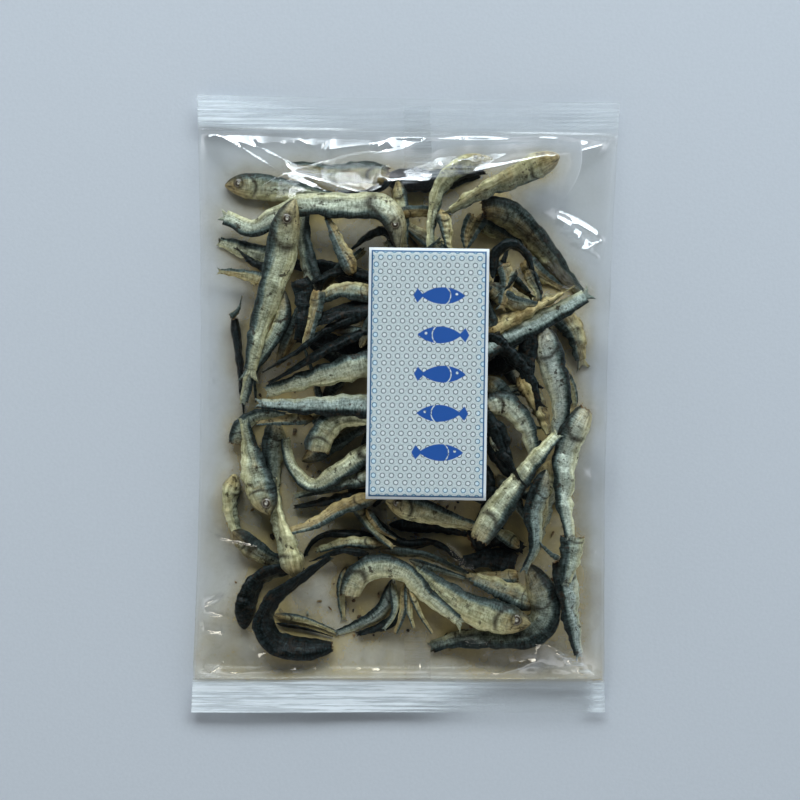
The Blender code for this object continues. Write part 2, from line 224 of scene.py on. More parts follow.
# Where the back is: 0 to the left of the way from head to tail, 90 up, 180 to the right.
# Tints are darkness, gold and paleness. The fifth value is the share of the fish that is broken off
# at the head, or WHOLE_HEAD where the eye shows. Most heads are crushed or hidden.
SILVER, BLUE, GREY, CREAM = (0.0, 0.34, 0.9), (0.15, 0.05, 0.5), (0.35, 0.3, 0.4), (0.0, 0.7, 0.8)
OLIVE, BROWN, RUST, BLACK = (0.5, 0.6, 0.2), (0.4, 0.9, 0.2), (0.25, 1.0, 0.4), (1.0, 0.25, 0.0)
WHOLE_HEAD, CRUSHED = -1.0, 0.0
FISH = (
    # lowest
    (BLACK, 60, 11.5, ((-7, 80), (8, 79.5), (18, 80.5), (29, 83.5)), 0.06),
    (BLACK, 80, 5.5, ((-4, 79), (-13, 75), (-23, 76)), CRUSHED),
    (BLACK, 90, 7.0, ((1, 58), (-9, 61), (-21, 53)), CRUSHED),
    (BLACK, 70, 7.0, ((-8, 44), (-22, 47), (-34, 42)), CRUSHED),
    (OLIVE, 20, 7.0, ((-8, 38), (-22, 40), (-34, 34)), CRUSHED),
    (BLACK, 40, 8.0, ((-6, 34), (-20, 33), (-33, 28)), CRUSHED),
    (BLACK, 160, 7.5, ((-37, 47), (-34, 36), (-36, 21)), 0.12),
    (BROWN, 30, 6.0, ((-29, 42), (-30, 34), (-34, 20)), 0.10),
    (BLACK, 90, 6.5, ((-10, 33), (-27, 26), (-38, 18), (-50, 11)), CRUSHED),
    (BLACK, 70, 6.5, ((-10, 27), (-24, 21), (-36, 14), (-49, 7)), CRUSHED),
    (BLACK, 90, 6.0, ((-60, 34), (-58, 18), (-57, 4), (-56, -7)), 0.08),
    (OLIVE, 90, 6.0, ((-52, 36), (-53, 18), (-52, 0)), CRUSHED),
    (GREY, 20, 6.5, ((-8, -24), (-25, -28), (-39, -32)), CRUSHED),
    (BLACK, 60, 6.0, ((-8, -30), (-24, -33), (-40, -36)), CRUSHED),
    (BLACK, 80, 7.5, ((-14, -36), (-6, -45), (2, -49), (10, -48), (17, -52), (27, -60)), CRUSHED),
    (OLIVE, 60, 5.0, ((-8, -51), (6, -52), (16, -56), (26, -61)), CRUSHED),
    (BLACK, 30, 5.0, ((-5, -42), (10, -43), (24, -46)), CRUSHED),
    (BLACK, 25, 10.0, ((22, -49), (32, -46), (43, -51)), 0.1),
    (BLACK, 30, 10.0, ((42, -57), (31, -54), (20, -55)), 0.12),
    (BROWN, 30, 6.0, ((42, -60), (33, -60), (22, -60)), 0.1),
    (CREAM, 17, 5.0, ((41, -50), (36, -46), (27, -42)), CRUSHED),
    (OLIVE, 20, 9.0, ((47, -70), (36, -65), (24, -60)), 0.05),
    ((0.45, 0.8, 0.25), -80, 13.0, ((27, 25), (42, 32.5), (57, 40)), CRUSHED),
    ((0.5, 0.85, 0.3), 155, 9.5, ((52, 35), (60, 27), (63.5, 15)), CRUSHED),
    ((0.3, 0.85, 0.3), -80, 13.0, ((41, 12), (46, 2), (51.5, -11)), 0.05),
    (BLACK, 50, 8.0, ((28, 13), (38, 15), (48, 18)), CRUSHED),
    (CREAM, 7, 4.0, ((57, 12), (60, 6), (61, 0)), CRUSHED),
    (GREY, 20, 2.6, ((30, -10), (34, -17), (39, -21)), CRUSHED),
    (BLACK, 80, 8.0, ((26, -4), (34, -9), (38, -24)), 0.2),
    (BLACK, 60, 8.0, ((28, -20), (30, -33), (24, -44)), CRUSHED),
    ((0.45, 0.6, 0.3), -70, 14.0, ((51, -19), (50, -34), (48, -49)), CRUSHED),
    (BLACK, 60, 9.0, ((29, 25), (38, 17), (47, 6)), CRUSHED),
    (OLIVE, 40, 9.0, ((29, 10), (36, 2), (46, -8)), CRUSHED),
    (BLACK, 60, 9.0, ((28, -1), (33, -14), (41, -27)), CRUSHED),
    (OLIVE, 90, 9.0, ((33, -24), (40, -34), (46, -46)), CRUSHED),
    (BLACK, 40, 8.0, ((44, 27), (43, 12), (47, 0)), CRUSHED),
    (BROWN, 60, 7.0, ((28, 51), (36, 46), (45, 38)), 0.1),
    (OLIVE, 30, 7.0, ((29, 42), (38, 36), (48, 34)), CRUSHED),
    (OLIVE, 40, 7.0, ((24, 69), (31, 63), (45, 56)), 0.15),
    (CREAM, 7, 5.0, ((-2, 79), (0, 68), (1, 55)), CRUSHED),
    (RUST, 20, 4.5, ((-3, 67), (7, 68), (18, 66)), CRUSHED),
    (CREAM, 173, 5.0, ((13, 68), (15, 60), (16, 52)), CRUSHED),
    (BROWN, 30, 5.0, ((29, 68), (25, 61), (21, 54)), 0.1),
    (BROWN, 150, 4.5, ((25, 68), (22, 62), (22, 55)), 0.1),
    (BROWN, 20, 7.0, ((42, 53), (48, 47), (56, 42)), 0.1),
    (BROWN, 150, 6.0, ((33, 52), (36, 44), (34, 34)), 0.2),
    # low
    (CREAM, 7, 3.0, ((-46, -74), (-34, -76), (-22, -81)), CRUSHED),
    (BLACK, 60, 2.4, ((-45, -77), (-34, -79), (-24, -82)), CRUSHED),
    (CREAM, 173, 4.0, ((-20, -57), (-22, -66), (-21, -76)), CRUSHED),
    (BLACK, 60, 6.0, ((1, -66), (-4, -76), (-17, -81)), CRUSHED),
    (BLUE, 160, 5.5, ((-3, -61), (-7, -71), (-15, -77), (-25, -81)), CRUSHED),
    (BROWN, 30, 3.5, ((1, -62), (0, -72), (-3, -81)), CRUSHED),
    (CREAM, 173, 3.5, ((2, -61), (2, -71), (4, -79)), CRUSHED),
    (CREAM, 173, 2.2, ((2, -64), (6, -73), (11, -81)), CRUSHED),
    (GREY, 160, 3.2, ((-4, -62), (-3, -72), (-7, -79)), CRUSHED),
    (BLACK, 80, 5.5, ((-10, -46), (-24, -45), (-32, -48), (-38, -59)), CRUSHED),
    (CREAM, 17, 4.5, ((-7, -49), (-19, -48), (-31, -51)), CRUSHED),
    (BLACK, 90, 5.0, ((-12, -52), (-22, -51), (-33, -55)), CRUSHED),
    (CREAM, 163, 4.0, ((-18, -34), (-10, -44), (-3, -50)), CRUSHED),
    (RUST, 40, 3.5, ((-13, -36), (-8, -43), (-2, -47)), CRUSHED),
    ((0.05, 0.5, 0.7), -75, 10.5, ((-59.5, -24), (-61, -36), (-57, -50)), CRUSHED),
    (OLIVE, 20, 8.0, ((-60, -44), (-50, -52), (-38, -58)), CRUSHED),
    (SILVER, 173, 8.0, ((-40, 50), (-55, 55), (-66.5, 58.5)), CRUSHED),
    (BLACK, 90, 7.0, ((-45, 47), (-52, 50), (-58, 55)), 0.2),
    (CREAM, 173, 5.0, ((-42, 42), (-55, 46), (-65.5, 47.5)), CRUSHED),
    (RUST, 90, 4.5, ((-62, 30), (-58, 34), (-57, 38)), 0.2),
    (BROWN, 40, 7.0, ((-17, 45), (-22, 56), (-27, 67)), 0.04),
    (GREY, 30, 3.4, ((2, -54), (14, -58), (23, -61)), CRUSHED),
    (GREY, 150, 9.0, ((-45, -5), (-46, -18), (-45, -32)), CRUSHED),
    # middle
    ((0.8, 0.7, 0.1), 50, 9.5, ((-56.2, -79), (-55.2, -69), (-51, -61), (-43.5, -58), (-34, -58)), 0.0),
    ((0.05, 0.5, 0.75), -70, 14.0, ((-37, -60), (-41, -48), (-44, -38), (-45, -28)), CRUSHED),
    (GREY, 20, 6.5, ((-60, -16), (-57, -7), (-50, -3), (-40, -4)), 0.1),
    ((0.2, 0.5, 0.5), 173, 11.0, ((-47, -38), (-50, -28), (-54, -15), (-56, -4)), WHOLE_HEAD),
    (RUST, 20, 4.5, ((-31, -4), (-41, -5), (-52, -6)), CRUSHED),
    (SILVER, 7, 9.5, ((-31, -20), (-29, -11), (-22, -4), (-6, -5)), 0.12),
    (SILVER, 12, 7.0, ((0, -11), (-13, -17), (-22, -23), (-31, -28), (-38, -23), (-41, -15),
                       (-41, -8)), CRUSHED),
    (GREY, 20, 6.0, ((-42, 41), (-42, 30), (-47, 21), (-53, 12), (-57, -1)), CRUSHED),
    ((0.0, 0.16, 0.95), 12, 10.0, ((48, 28), (52, 14), (55, 1), (53, -13)), 0.04),
    (SILVER, 7, 8.5, ((26, -1), (35, 1), (41, -4), (44, -11), (46, -19)), 0.1),
    (BLACK, 80, 7.0, ((31, 44), (32, 53), (38, 56), (43, 52), (45, 45), (48, 37)), CRUSHED),
    (SILVER, 60, 4.5, ((39, 47), (36, 42), (32, 38)), CRUSHED),
    (OLIVE, 20, 5.0, ((43, 47), (46, 41), (47, 36)), CRUSHED),
    ((0.1, 0.5, 0.5), -65, 13.0, ((54.5, 87.5), (45, 83), (36, 78.5), (26, 74), (14, 66)), CRUSHED),
    ((0.5, 0.7, 0.15), 30, 11.0, ((24, 67), (32, 69), (41, 65), (51, 54), (65, 37)), 0.08),
    ((0.0, 0.4, 0.9), -60, 9.5, ((31, 86), (20, 83), (13, 76), (10, 65), (9, 51)), CRUSHED),
    (CREAM, 163, 8.0, ((-2, 79), (-12, 82), (-24, 82), (-33, 84), (-42, 85)), 0.1),
    ((0.1, 0.45, 0.5), 1, 9.5, ((-63, 78), (-53, 78), (-42, 76.5), (-20, 73)), WHOLE_HEAD),
    (SILVER, 7, 9.5, ((-1.5, 54), (-2.5, 63), (-8, 69), (-20, 69.5), (-35, 70), (-45, 66), (-53, 62.5),
                      (-60, 65.5), (-67, 68.5)), WHOLE_HEAD),
    (CREAM, 7, 9.0, ((-6, -33), (6, -36), (15, -39), (28, -43)), WHOLE_HEAD),
    ((0.62, 0.25, 0.25), 25, 11.5, ((43, -55), (47.3, -62), (50, -69), (49, -75.5), (44, -80), (36, -81.5),
                                    (21, -82), (6.5, -86.5)), 0.02),
    (BLUE, 150, 9.5, ((55, -50), (57, -65), (59, -76), (62, -89)), 0.1),
    (GREY, 150, 10.0, ((59, -42), (58, -52), (56, -62)), 0.17),
    (RUST, 90, 4.0, ((55, -53), (51, -51), (46, -46)), 0.1),
    ((0.35, 0.1, 0.25), 140, 9.0, ((49.5, -22), (45, -37), (45.8, -47), (41.5, -58)), CRUSHED),
    ((0.1, 0.2, 0.85), 173, 10.0, ((65, 1), (59, -9), (56, -18), (56, -32), (58, -48)), 0.05),
    # on top
    ((0.0, 0.45, 0.9), 176, 11.5, ((44.5, -76), (35, -73.8), (25, -71), (14, -65), (3, -57)), WHOLE_HEAD),
    (SILVER, 168, 9.5, ((24, -50), (31, -39), (38, -29), (46, -18), (55, -8)), 0.08),
    ((0.2, 0.15, 0.35), 150, 9.5, ((14, 12), (31, 21), (47, 29), (66, 40)), CRUSHED),
    ((0.85, 0.4, 0.15), 40, 9.8, ((-23, -84.7), (-35, -86), (-44.5, -83.5), (-49.2, -77), (-46.5, -69),
                                  (-37, -61), (-22, -50.5)), 0.03),
    (SILVER, 2, 9.0, ((-20, -73), (-18, -63), (-14, -58), (-6, -56), (2, -59), (9, -67), (22, -77)), 0.1),
    (RUST, 20, 6.0, ((-8, -31), (-22, -36), (-31, -41), (-41, -44)), CRUSHED),
    ((0.3, 0.08, 0.42), 32, 9.5, ((8, -3), (-14, 0), (-30, 0), (-53, 1)), CRUSHED),
    (SILVER, 173, 10.5, ((12, 17), (-12, 15), (-27, 11), (-51, 4)), CRUSHED),
    ((0.05, 0.45, 0.85), 168, 11.0, ((-37.5, 72), (-41.5, 61), (-43.5, 50), (-47, 38), (-50.5, 25),
                                     (-54, 9)), WHOLE_HEAD),
)

# Half depths towards back and belly, and half thickness, against a fish's depth, from snout to tail.
BODY_AT = (0.0, 0.015, 0.04, 0.08, 0.12, 0.17, 0.24, 0.34, 0.46, 0.58, 0.70, 0.81, 0.89, 0.94)
BODY_BACK = (0.04, 0.14, 0.24, 0.34, 0.41, 0.46, 0.48, 0.46, 0.42, 0.36, 0.29, 0.23, 0.18, 0.17)
BODY_BELLY = (0.03, 0.11, 0.21, 0.33, 0.42, 0.49, 0.52, 0.52, 0.48, 0.39, 0.28, 0.20, 0.16, 0.15)
BODY_SIDE = (0.04, 0.10, 0.16, 0.21, 0.24, 0.255, 0.26, 0.25, 0.22, 0.18, 0.13, 0.085, 0.055, 0.035)
HEAD_HALF_DEPTH = 0.42
EYE_AT, EYE_SIZE, EYE_HEIGHT, EYE_BULGE = 0.115, 0.155, 0.15, 0.34
GILL_AT, TAIL_ROOT = 0.245, 0.94
FOLD_SIZE, FOLD_HEIGHT = 0.0042, 0.072      # crumpled skin, the height against a fish's depth
BREAK_JAG, BREAK_DEPTH = 1.4, 3.5           # a broken end, in millimetres
RING_COUNT = 28
STATIONS = np.concatenate((np.linspace(0, 0.05, 7), np.linspace(0.06, 0.3, 27),
                           np.linspace(0.32, TAIL_ROOT, 34)))
FIN_RAYS, FIN_STEPS, FIN_HALF_THICKNESS = 11, 5, 0.10 * MM
chance = np.random.default_rng(7)


def smooth_line(points, count=240):
    """Evenly spaced places on a smooth curve through the points."""
    knots = np.array(points, float)
    knots = np.vstack((2 * knots[0] - knots[1], knots, 2 * knots[-1] - knots[-2]))
    t = np.linspace(0, 1, 40)[:, None]
    spans = []
    for a, b, c, d in zip(knots, knots[1:], knots[2:], knots[3:]):
        square, cube = 2 * a - 5 * b + 4 * c - d, 3 * b - a - 3 * c + d
        spans.append(0.5 * (2 * b + (c - a) * t + square * t**2 + cube * t**3))
    line = np.vstack(spans)
    run = np.concatenate(([0], np.cumsum(np.hypot(*np.diff(line, axis=0).T))))
    even = np.linspace(0, run[-1], count)
    return np.column_stack([np.interp(even, run, line[:, k]) for k in (0, 1)]), run[-1]


def blur(values, reach):
    """A row of values smoothed over a reach on either side."""
    kernel = np.exp(-np.linspace(-2, 2, 2 * reach + 1) ** 2)
    padded = np.pad(values, reach, mode="edge")
    return np.convolve(padded, kernel / kernel.sum(), mode="valid")


def body_profile(at):
    """Half depth to the back and to the belly, and half thickness, at places along the fish."""
    fine = np.linspace(0, 1, 401)
    rows = (np.interp(fine, BODY_AT, row) for row in (BODY_BACK, BODY_BELLY, BODY_SIDE))
    return [np.interp(at, fine, blur(row, 6)) for row in rows]


heap = np.full(PATCHES, HEAP_FLOOR)


def patch_of(place):
    """Which patch of the heap's height grid is at each place."""
    cells = np.round(place / PATCH).astype(int) + np.array(PATCHES) // 2
    return tuple(np.clip(cells, 0, np.array(PATCHES) - 1).T)


def settle(line, left, depth, roll):
    """The height of a fish's middle along its line, lying on the heap, which then has it too."""
    along = np.linspace(0, 1, len(line))
    back, belly, side = body_profile(np.minimum(along, TAIL_ROOT))
    deep = (back + belly) / 2 * depth
    half_width = np.hypot(deep * math.cos(roll), side * depth * math.sin(roll))
    half_height = np.hypot(deep * math.sin(roll), side * depth * math.cos(roll))
    needed = np.full(len(line), HEAP_FLOOR)
    for across in np.linspace(-0.8, 0.8, 7):
        rise = half_height * math.sqrt(1 - across**2) * NESTING
        spot = line + left * (half_width * across)[:, None]
        needed = np.maximum(needed, heap[patch_of(spot)] + rise)
    step = np.hypot(*(line[1] - line[0]))
    away = np.abs(np.arange(len(line))[:, None] - np.arange(len(line))[None, :]) * step * STIFFNESS
    height = blur((needed[None, :] - away).max(axis=1), 12)
    height = np.minimum(height, HEAP_TOP - half_height)
    for across in np.linspace(-1, 1, 31):
        spot = line + left * (half_width * across)[:, None]
        np.maximum.at(heap, patch_of(spot), height + half_height * math.sqrt(max(0, 1 - across**2)))
    return height


def ripples(at, angle, count, most):
    """A smooth uneven surface from -1 to 1 over a fish, never the same on two."""
    total = np.zeros(np.broadcast(at, angle).shape)
    for _ in range(count):
        waves, turns, start = chance.uniform(1, most), chance.integers(0, 4), chance.uniform(0, 6.28)
        total += np.sin(6.283 * waves * at + turns * angle + start)
    return total / count


class Heap:
    """Points, faces and their painted values, gathered for one piece of many fish."""

    def __init__(self):
        self.points, self.faces, self.slots = [], [], []
        self.body, self.lot, self.skin, self.painted_shade_and_eye_ring = [], [], [], []
        self.count = 0

    def add(self, points, faces, body, lot, skin, painted_shade_and_eye_ring, slot=0):
        points = np.array(points)
        points[:, 2] = np.maximum(points[:, 2], LOWEST)
        self.points.append(points)
        self.faces += [tuple(int(i) + self.count for i in face) for face in faces]
        self.body.append(np.asarray(body))
        self.lot.append(np.tile(lot, (len(points), 1)))
        self.skin.append(np.asarray(skin))
        self.painted_shade_and_eye_ring.append(np.asarray(painted_shade_and_eye_ring))
        self.slots += [slot] * len(faces)
        self.count += len(points)

    def piece(self, name, *materials):
        made = mesh_piece(name, np.vstack(self.points), self.faces)
        for material in materials:
            made.data.materials.append(material)
        made.data.polygons.foreach_set("material_index", self.slots)
        for label, rows in (("body", self.body), ("lot", self.lot), ("skin", self.skin)):
            layer = made.data.attributes.new(label, "FLOAT_VECTOR", "POINT")
            layer.data.foreach_set("vector", np.vstack(rows).astype(np.float32).ravel())
        layer = made.data.attributes.new("painted_shade_and_eye_ring", "FLOAT", "POINT")
        layer.data.foreach_set("value", np.concatenate(self.painted_shade_and_eye_ring).astype(np.float32))
        return made


def grid_faces(rows, columns, start=0, closed=True):
    """Quads over a grid of points, joined round in each row where it is closed."""
    last = columns if closed else columns - 1
    return [
        (start + r * columns + c, start + r * columns + (c + 1) % columns,
         start + (r + 1) * columns + (c + 1) % columns, start + (r + 1) * columns + c)
        for r in range(rows - 1) for c in range(last)
    ]


def sheet_faces(rows, columns):
    """Both sides and the rim of a thin sheet: a grid of points, then the same grid under it."""
    count = rows * columns
    upper = grid_faces(rows, columns, closed=False)
    rim = [*range(columns), *(columns * r + columns - 1 for r in range(1, rows)),
           *(count - 1 - c for c in range(1, columns)), *(columns * r for r in range(rows - 2, 0, -1))]
    faces = [face[::-1] for face in upper] + [tuple(i + count for i in face) for face in upper]
    return faces + [(a, b, b + count, a + count) for a, b in zip(rim, rim[1:] + rim[:1])]


def crumple(points, size, seed):
    """How far dried skin stands out or in at each point, from about -1 to 1, in folds of a size."""
    shift = Vector((seed * 3.7, seed * 1.3, seed * 7.1))
    return np.array([noise.fractal(Vector(p) / size + shift, 0.7, 2.1, 3) for p in points])


def bell(values, middle, width):
    """1 where a value is at the middle, falling to 0 on both sides of it."""
    return np.exp(-((values - middle) / width) ** 2)


def shape_rings(at, angle, depth, length, tint, head):
    """The points of a fish's rings: how far out to its side and up to its back, as shares of its
    depth, how much painted shade lies in their creases and hollows, and how much of the body
    behind the head is there."""
    blunt = 1 + chance.uniform(0.0, 0.9) * np.clip((at - 0.55) / 0.4, 0, 1)
    back, belly, side = ((half * blunt)[:, None] for half in body_profile(at))
    at, angle = at[:, None], angle[None, :]
    up_share, out_share = np.cos(angle), np.sin(angle)
    flank = np.abs(out_share)
    # The dried flank is sunken, and the belly is a keel.
    dent = chance.uniform(0.1, 0.34) * bell(up_share, -0.25, 0.3)
    dent = 1 - dent * np.clip((at - 0.3) / 0.2, 0, 1)
    keel = 1 - 0.3 * np.clip(-up_share, 0, 1) ** 3
    out = side * np.sign(out_share) * flank**0.85 * dent * keel
    up = np.where(up_share > 0, back, belly) * up_share
    # The gill cover stands out and ends at a curved slit, and the eye lies in a socket.
    gill = GILL_AT - 0.05 * (up_share + 0.15) ** 2 - 0.03 * np.clip(up_share, 0, 1)
    plate = 1 / (1 + np.exp((at - gill) / 0.0035))
    plate = plate * np.clip((at - 0.06) / 0.1, 0, 1) * np.clip(flank * 1.6 - 0.3, 0, 1)
    over_eye = (up_share - EYE_HEIGHT) * depth * HEAD_HALF_DEPTH
    from_eye = np.hypot((at - EYE_AT) * length, over_eye) / (EYE_SIZE * depth)
    socket = bell(from_eye, 1.05, 0.28) * (flank > 0.5) * (1.0 if head == WHOLE_HEAD else 0.2)
    # Behind the head, the skin is wrinkled across and the flesh has shrunk along two grooves.
    wrinkle = np.abs(np.sin(3.1416 * (at * chance.uniform(24, 34) + 0.8 * np.abs(up_share)))) ** 0.6
    shrink = ripples(at, angle, 6, 9) * 0.065 + ripples(at, angle, 5, 26) * 0.02
    body_part = np.clip((at - 0.26) / 0.05, 0, 1) * np.clip((0.95 - at) / 0.2, 0, 1)
    groove_at = (0.28 + 0.16 * np.sin(at * 9 + chance.uniform(0, 6)),
                 -0.42 + 0.14 * np.sin(at * 7 + chance.uniform(0, 6)))
    grooves = sum(bell(up_share, groove, 0.085) for groove in groove_at) * body_part * flank
    swell = (0.028 * plate - 0.055 * grooves - 0.03 * socket + shrink * (0.35 + 0.65 * body_part)
             - 0.012 * wrinkle * body_part * flank)
    swell = swell * np.clip(at / 0.06, 0.15, 1) * np.clip((1 - at) / 0.2, 0.3, 1)
    out = out + np.sign(out_share) * flank * swell
    up = up + up_share * swell * 0.8
    # Painted shade lies in the gill slit, widest on pale fish, in a faint arc before it, and in the mouth,
    # the eye socket and the grooves.
    slit_width = 0.005 + 0.022 * tint[2]
    slit = bell(at, gill + slit_width, slit_width) * np.clip(flank * 1.8 - 0.5, 0, 1)
    inner_arc = 0.45 * bell(at, gill - 0.065, 0.006) * np.clip(flank * 1.8 - 0.7, 0, 1)
    mouth = bell(up_share + 5.0 * at, -0.02, 0.11) * flank * np.clip((0.085 - at) / 0.01, 0, 1)
    painted_shade_and_eye_ring = np.maximum.reduce((slit, inner_arc, mouth, socket * 0.9, grooves * 0.4))
    return out, up, np.clip(painted_shade_and_eye_ring, 0, 1), body_part


def make_fish(heap_of, tint, roll_degrees, depth_mm, points, head):
    """One dried fish: body, gill covers, eyes and tail fin, with its head as the list gives it."""
    depth = depth_mm * MM
    roll = math.radians(roll_degrees)
    line, length = smooth_line(points)
    line = line * MM + HEAP_PLACE
    length *= MM
    ahead = np.gradient(line, axis=0)
    ahead /= np.hypot(*ahead.T)[:, None]
    left = np.column_stack((-ahead[:, 1], ahead[:, 0]))
    height = settle(line, left, depth, roll)
    along = np.linspace(0, 1, len(line))
    twist = chance.uniform(-0.3, 0.3)

    def frame_at(at):
        """The middle, the way to the back, the way to the upper side and the way ahead, there."""
        middle = np.column_stack([np.interp(at, along, row) for row in (*line.T, height)])
        lean = np.column_stack([np.interp(at, along, row) for row in left.T])
        lean /= np.hypot(*lean.T)[:, None]
        turn = roll + twist * (at - 0.3)
        up = np.zeros((len(at), 3))
        up[:, 2] = 1
        lean = np.column_stack((lean, np.zeros(len(at))))
        to_back = lean * np.cos(turn)[:, None] + up * np.sin(turn)[:, None]
        to_side = up * np.cos(turn)[:, None] - lean * np.sin(turn)[:, None]
        run = np.cross(lean, up)
        return middle, to_back, to_side, run

    at = np.unique(np.maximum(STATIONS, head))
    angle = np.linspace(0, 2 * math.pi, RING_COUNT, endpoint=False)
    middle, to_back, to_side, run = frame_at(at)
    out, up, painted_shade_and_eye_ring, body_part = shape_rings(at, angle, depth, length, tint, head)
    place = (middle[:, None] + to_back[:, None] * (up * depth)[..., None]
             + to_side[:, None] * (out * depth)[..., None])
    # Dried skin is crumpled, and less so on a whole head.
    seed = chance.uniform(0, 50)
    out_way = place - middle[:, None]
    out_way /= np.linalg.norm(out_way, axis=2, keepdims=True) + 1e-9
    folds = crumple(place.reshape(-1, 3), FOLD_SIZE, seed).reshape(place.shape[:2])
    fade = np.clip((at - 0.03) / 0.06, 0, 1) * np.clip((0.97 - at) / 0.12, 0, 1)
    folds = folds * (0.45 + 0.55 * body_part) * fade[:, None] * (0.7 if head == WHOLE_HEAD else 1.0)
    place = (place + out_way * (folds * FOLD_HEIGHT * depth)[..., None]).reshape(-1, 3)
    rise = np.tile(np.cos(angle), len(at))
    skin = np.column_stack((np.repeat(at * length, RING_COUNT), rise * depth * 0.5, np.full(len(rise), seed)))
    body = np.column_stack((np.repeat(at, RING_COUNT), rise, np.zeros_like(rise)))
    painted_shade_and_eye_ring = painted_shade_and_eye_ring.ravel()
    faces = grid_faces(len(at), RING_COUNT)
    # Both ends are closed, and where the head is broken off the end is ragged and hollow, with painted shade
    # on its ragged rim and most of all in its middle.
    for row, broken in ((0, head > 0), (len(at) - 1, False)):
        ring = list(range(row * RING_COUNT, (row + 1) * RING_COUNT))
        if broken:
            jag = chance.uniform(-0.5, 0.5, RING_COUNT) * BREAK_JAG * MM
            place[ring] += run[row] * jag[:, None]
            painted_shade_and_eye_ring[ring] = 0.5
            body[ring, 2] = 0.7
        place = np.vstack((place, middle[row] + (run[row] * BREAK_DEPTH * MM if broken else 0)))
        skin = np.vstack((skin, (at[row] * length, 0, seed)))
        body = np.vstack((body, (at[row], 0, 1.0 if broken else 0)))
        painted_shade_and_eye_ring = np.append(painted_shade_and_eye_ring, 1.0 if broken else 0)
        centre = len(place) - 1
        outward = 1 if row else -1
        faces += [(a, b, centre)[::outward] for a, b in zip(ring, ring[1:] + ring[:1])]
    lot = tuple(np.clip(np.array(tint) + chance.uniform(-0.08, 0.08, 3), 0, 1))
    heap_of.add(place, faces, body, lot, skin, painted_shade_and_eye_ring)
    if head == WHOLE_HEAD:
        for sign in (1, -1):
            add_eye(heap_of, frame_at, depth, sign, lot)
    add_tail_fin(heap_of, frame_at, depth, lot)


def add_eye(heap_of, frame_at, depth, sign, lot):
    """A clouded eye, a low dome in the side of the head."""
    middle, to_back, to_side, run = (row[0] for row in frame_at(np.array([EYE_AT])))
    _, _, side = body_profile(np.array([EYE_AT]))
    radius = EYE_SIZE * depth
    centre = middle + to_back * EYE_HEIGHT * HEAD_HALF_DEPTH * depth + to_side * sign * depth * side[0] * 0.93
    points, spot = [centre + to_side * sign * radius * EYE_BULGE], [0.0]
    segments = 18
    shares = (0.3, 0.55, 0.75, 0.9, 1.02)
    for share in shares:
        for k in range(segments):
            turn = 2 * math.pi * k / segments
            rim = run * math.cos(turn) + to_back * math.sin(turn)
            bulge = to_side * sign * radius * EYE_BULGE * (1 - share**2)
            points.append(centre + rim * radius * share + bulge)
            spot.append(share)
    faces = [(0, 1 + (k + 1) % segments, 1 + k) for k in range(segments)]
    faces += [face[::-1] for face in grid_faces(len(shares), segments, start=1)]
    if sign < 0:
        faces = [face[::-1] for face in faces]
    spots = np.column_stack((spot, spot, spot))
    heap_of.add(points, faces, spots, lot, spots, spot, slot=1)


def add_tail_fin(heap_of, frame_at, depth, lot):
    """A dry forked tail fin, a thin fan of rays, often frayed."""
    middle, to_back, to_side, run = (row[0] for row in frame_at(np.array([TAIL_ROOT - 0.01])))
    whole = chance.uniform() < 0.25
    reach = depth * (chance.uniform(0.4, 0.55) if whole else chance.uniform(0.15, 0.35))
    spread = chance.uniform(0.35, 0.6) if whole else chance.uniform(0.05, 0.3)
    points, body, painted_shade_and_eye_ring = [], [], []
    fray = chance.uniform(0.75, 1.05, FIN_RAYS)
    curl = chance.uniform(-0.12, 0.12)
    for step in range(FIN_STEPS):
        share = step / (FIN_STEPS - 1)
        for ray in range(FIN_RAYS):
            lean = 2 * ray / (FIN_RAYS - 1) - 1
            turn = lean * spread * (0.4 + 0.6 * share)
            far = reach * (0.5 + 0.5 * abs(lean) ** 1.1) * fray[ray] * share
            root = middle + to_back * lean * 0.15 * depth
            flutter = (0.05 * math.sin(ray * 1.9) + curl) * far * share
            points.append(root + (run * math.cos(turn) + to_back * math.sin(turn)) * far + to_side * flutter)
            body.append((TAIL_ROOT + 0.06 * share, lean * 0.6, 0.0))
            # Every other ray gets painted shade.
            painted_shade_and_eye_ring.append(0.5 if ray % 2 else 0.0)
    half = np.array(points)
    thick = to_side * FIN_HALF_THICKNESS
    skin = np.column_stack((np.repeat(np.arange(FIN_STEPS), FIN_RAYS) * 0.001,
                            np.tile(np.arange(FIN_RAYS), FIN_STEPS) * 0.004, np.zeros(len(half))))
    heap_of.add(np.vstack((half + thick, half - thick)), sheet_faces(FIN_STEPS, FIN_RAYS), np.array(body * 2),
                lot, np.vstack((skin, skin)), np.array(painted_shade_and_eye_ring * 2))


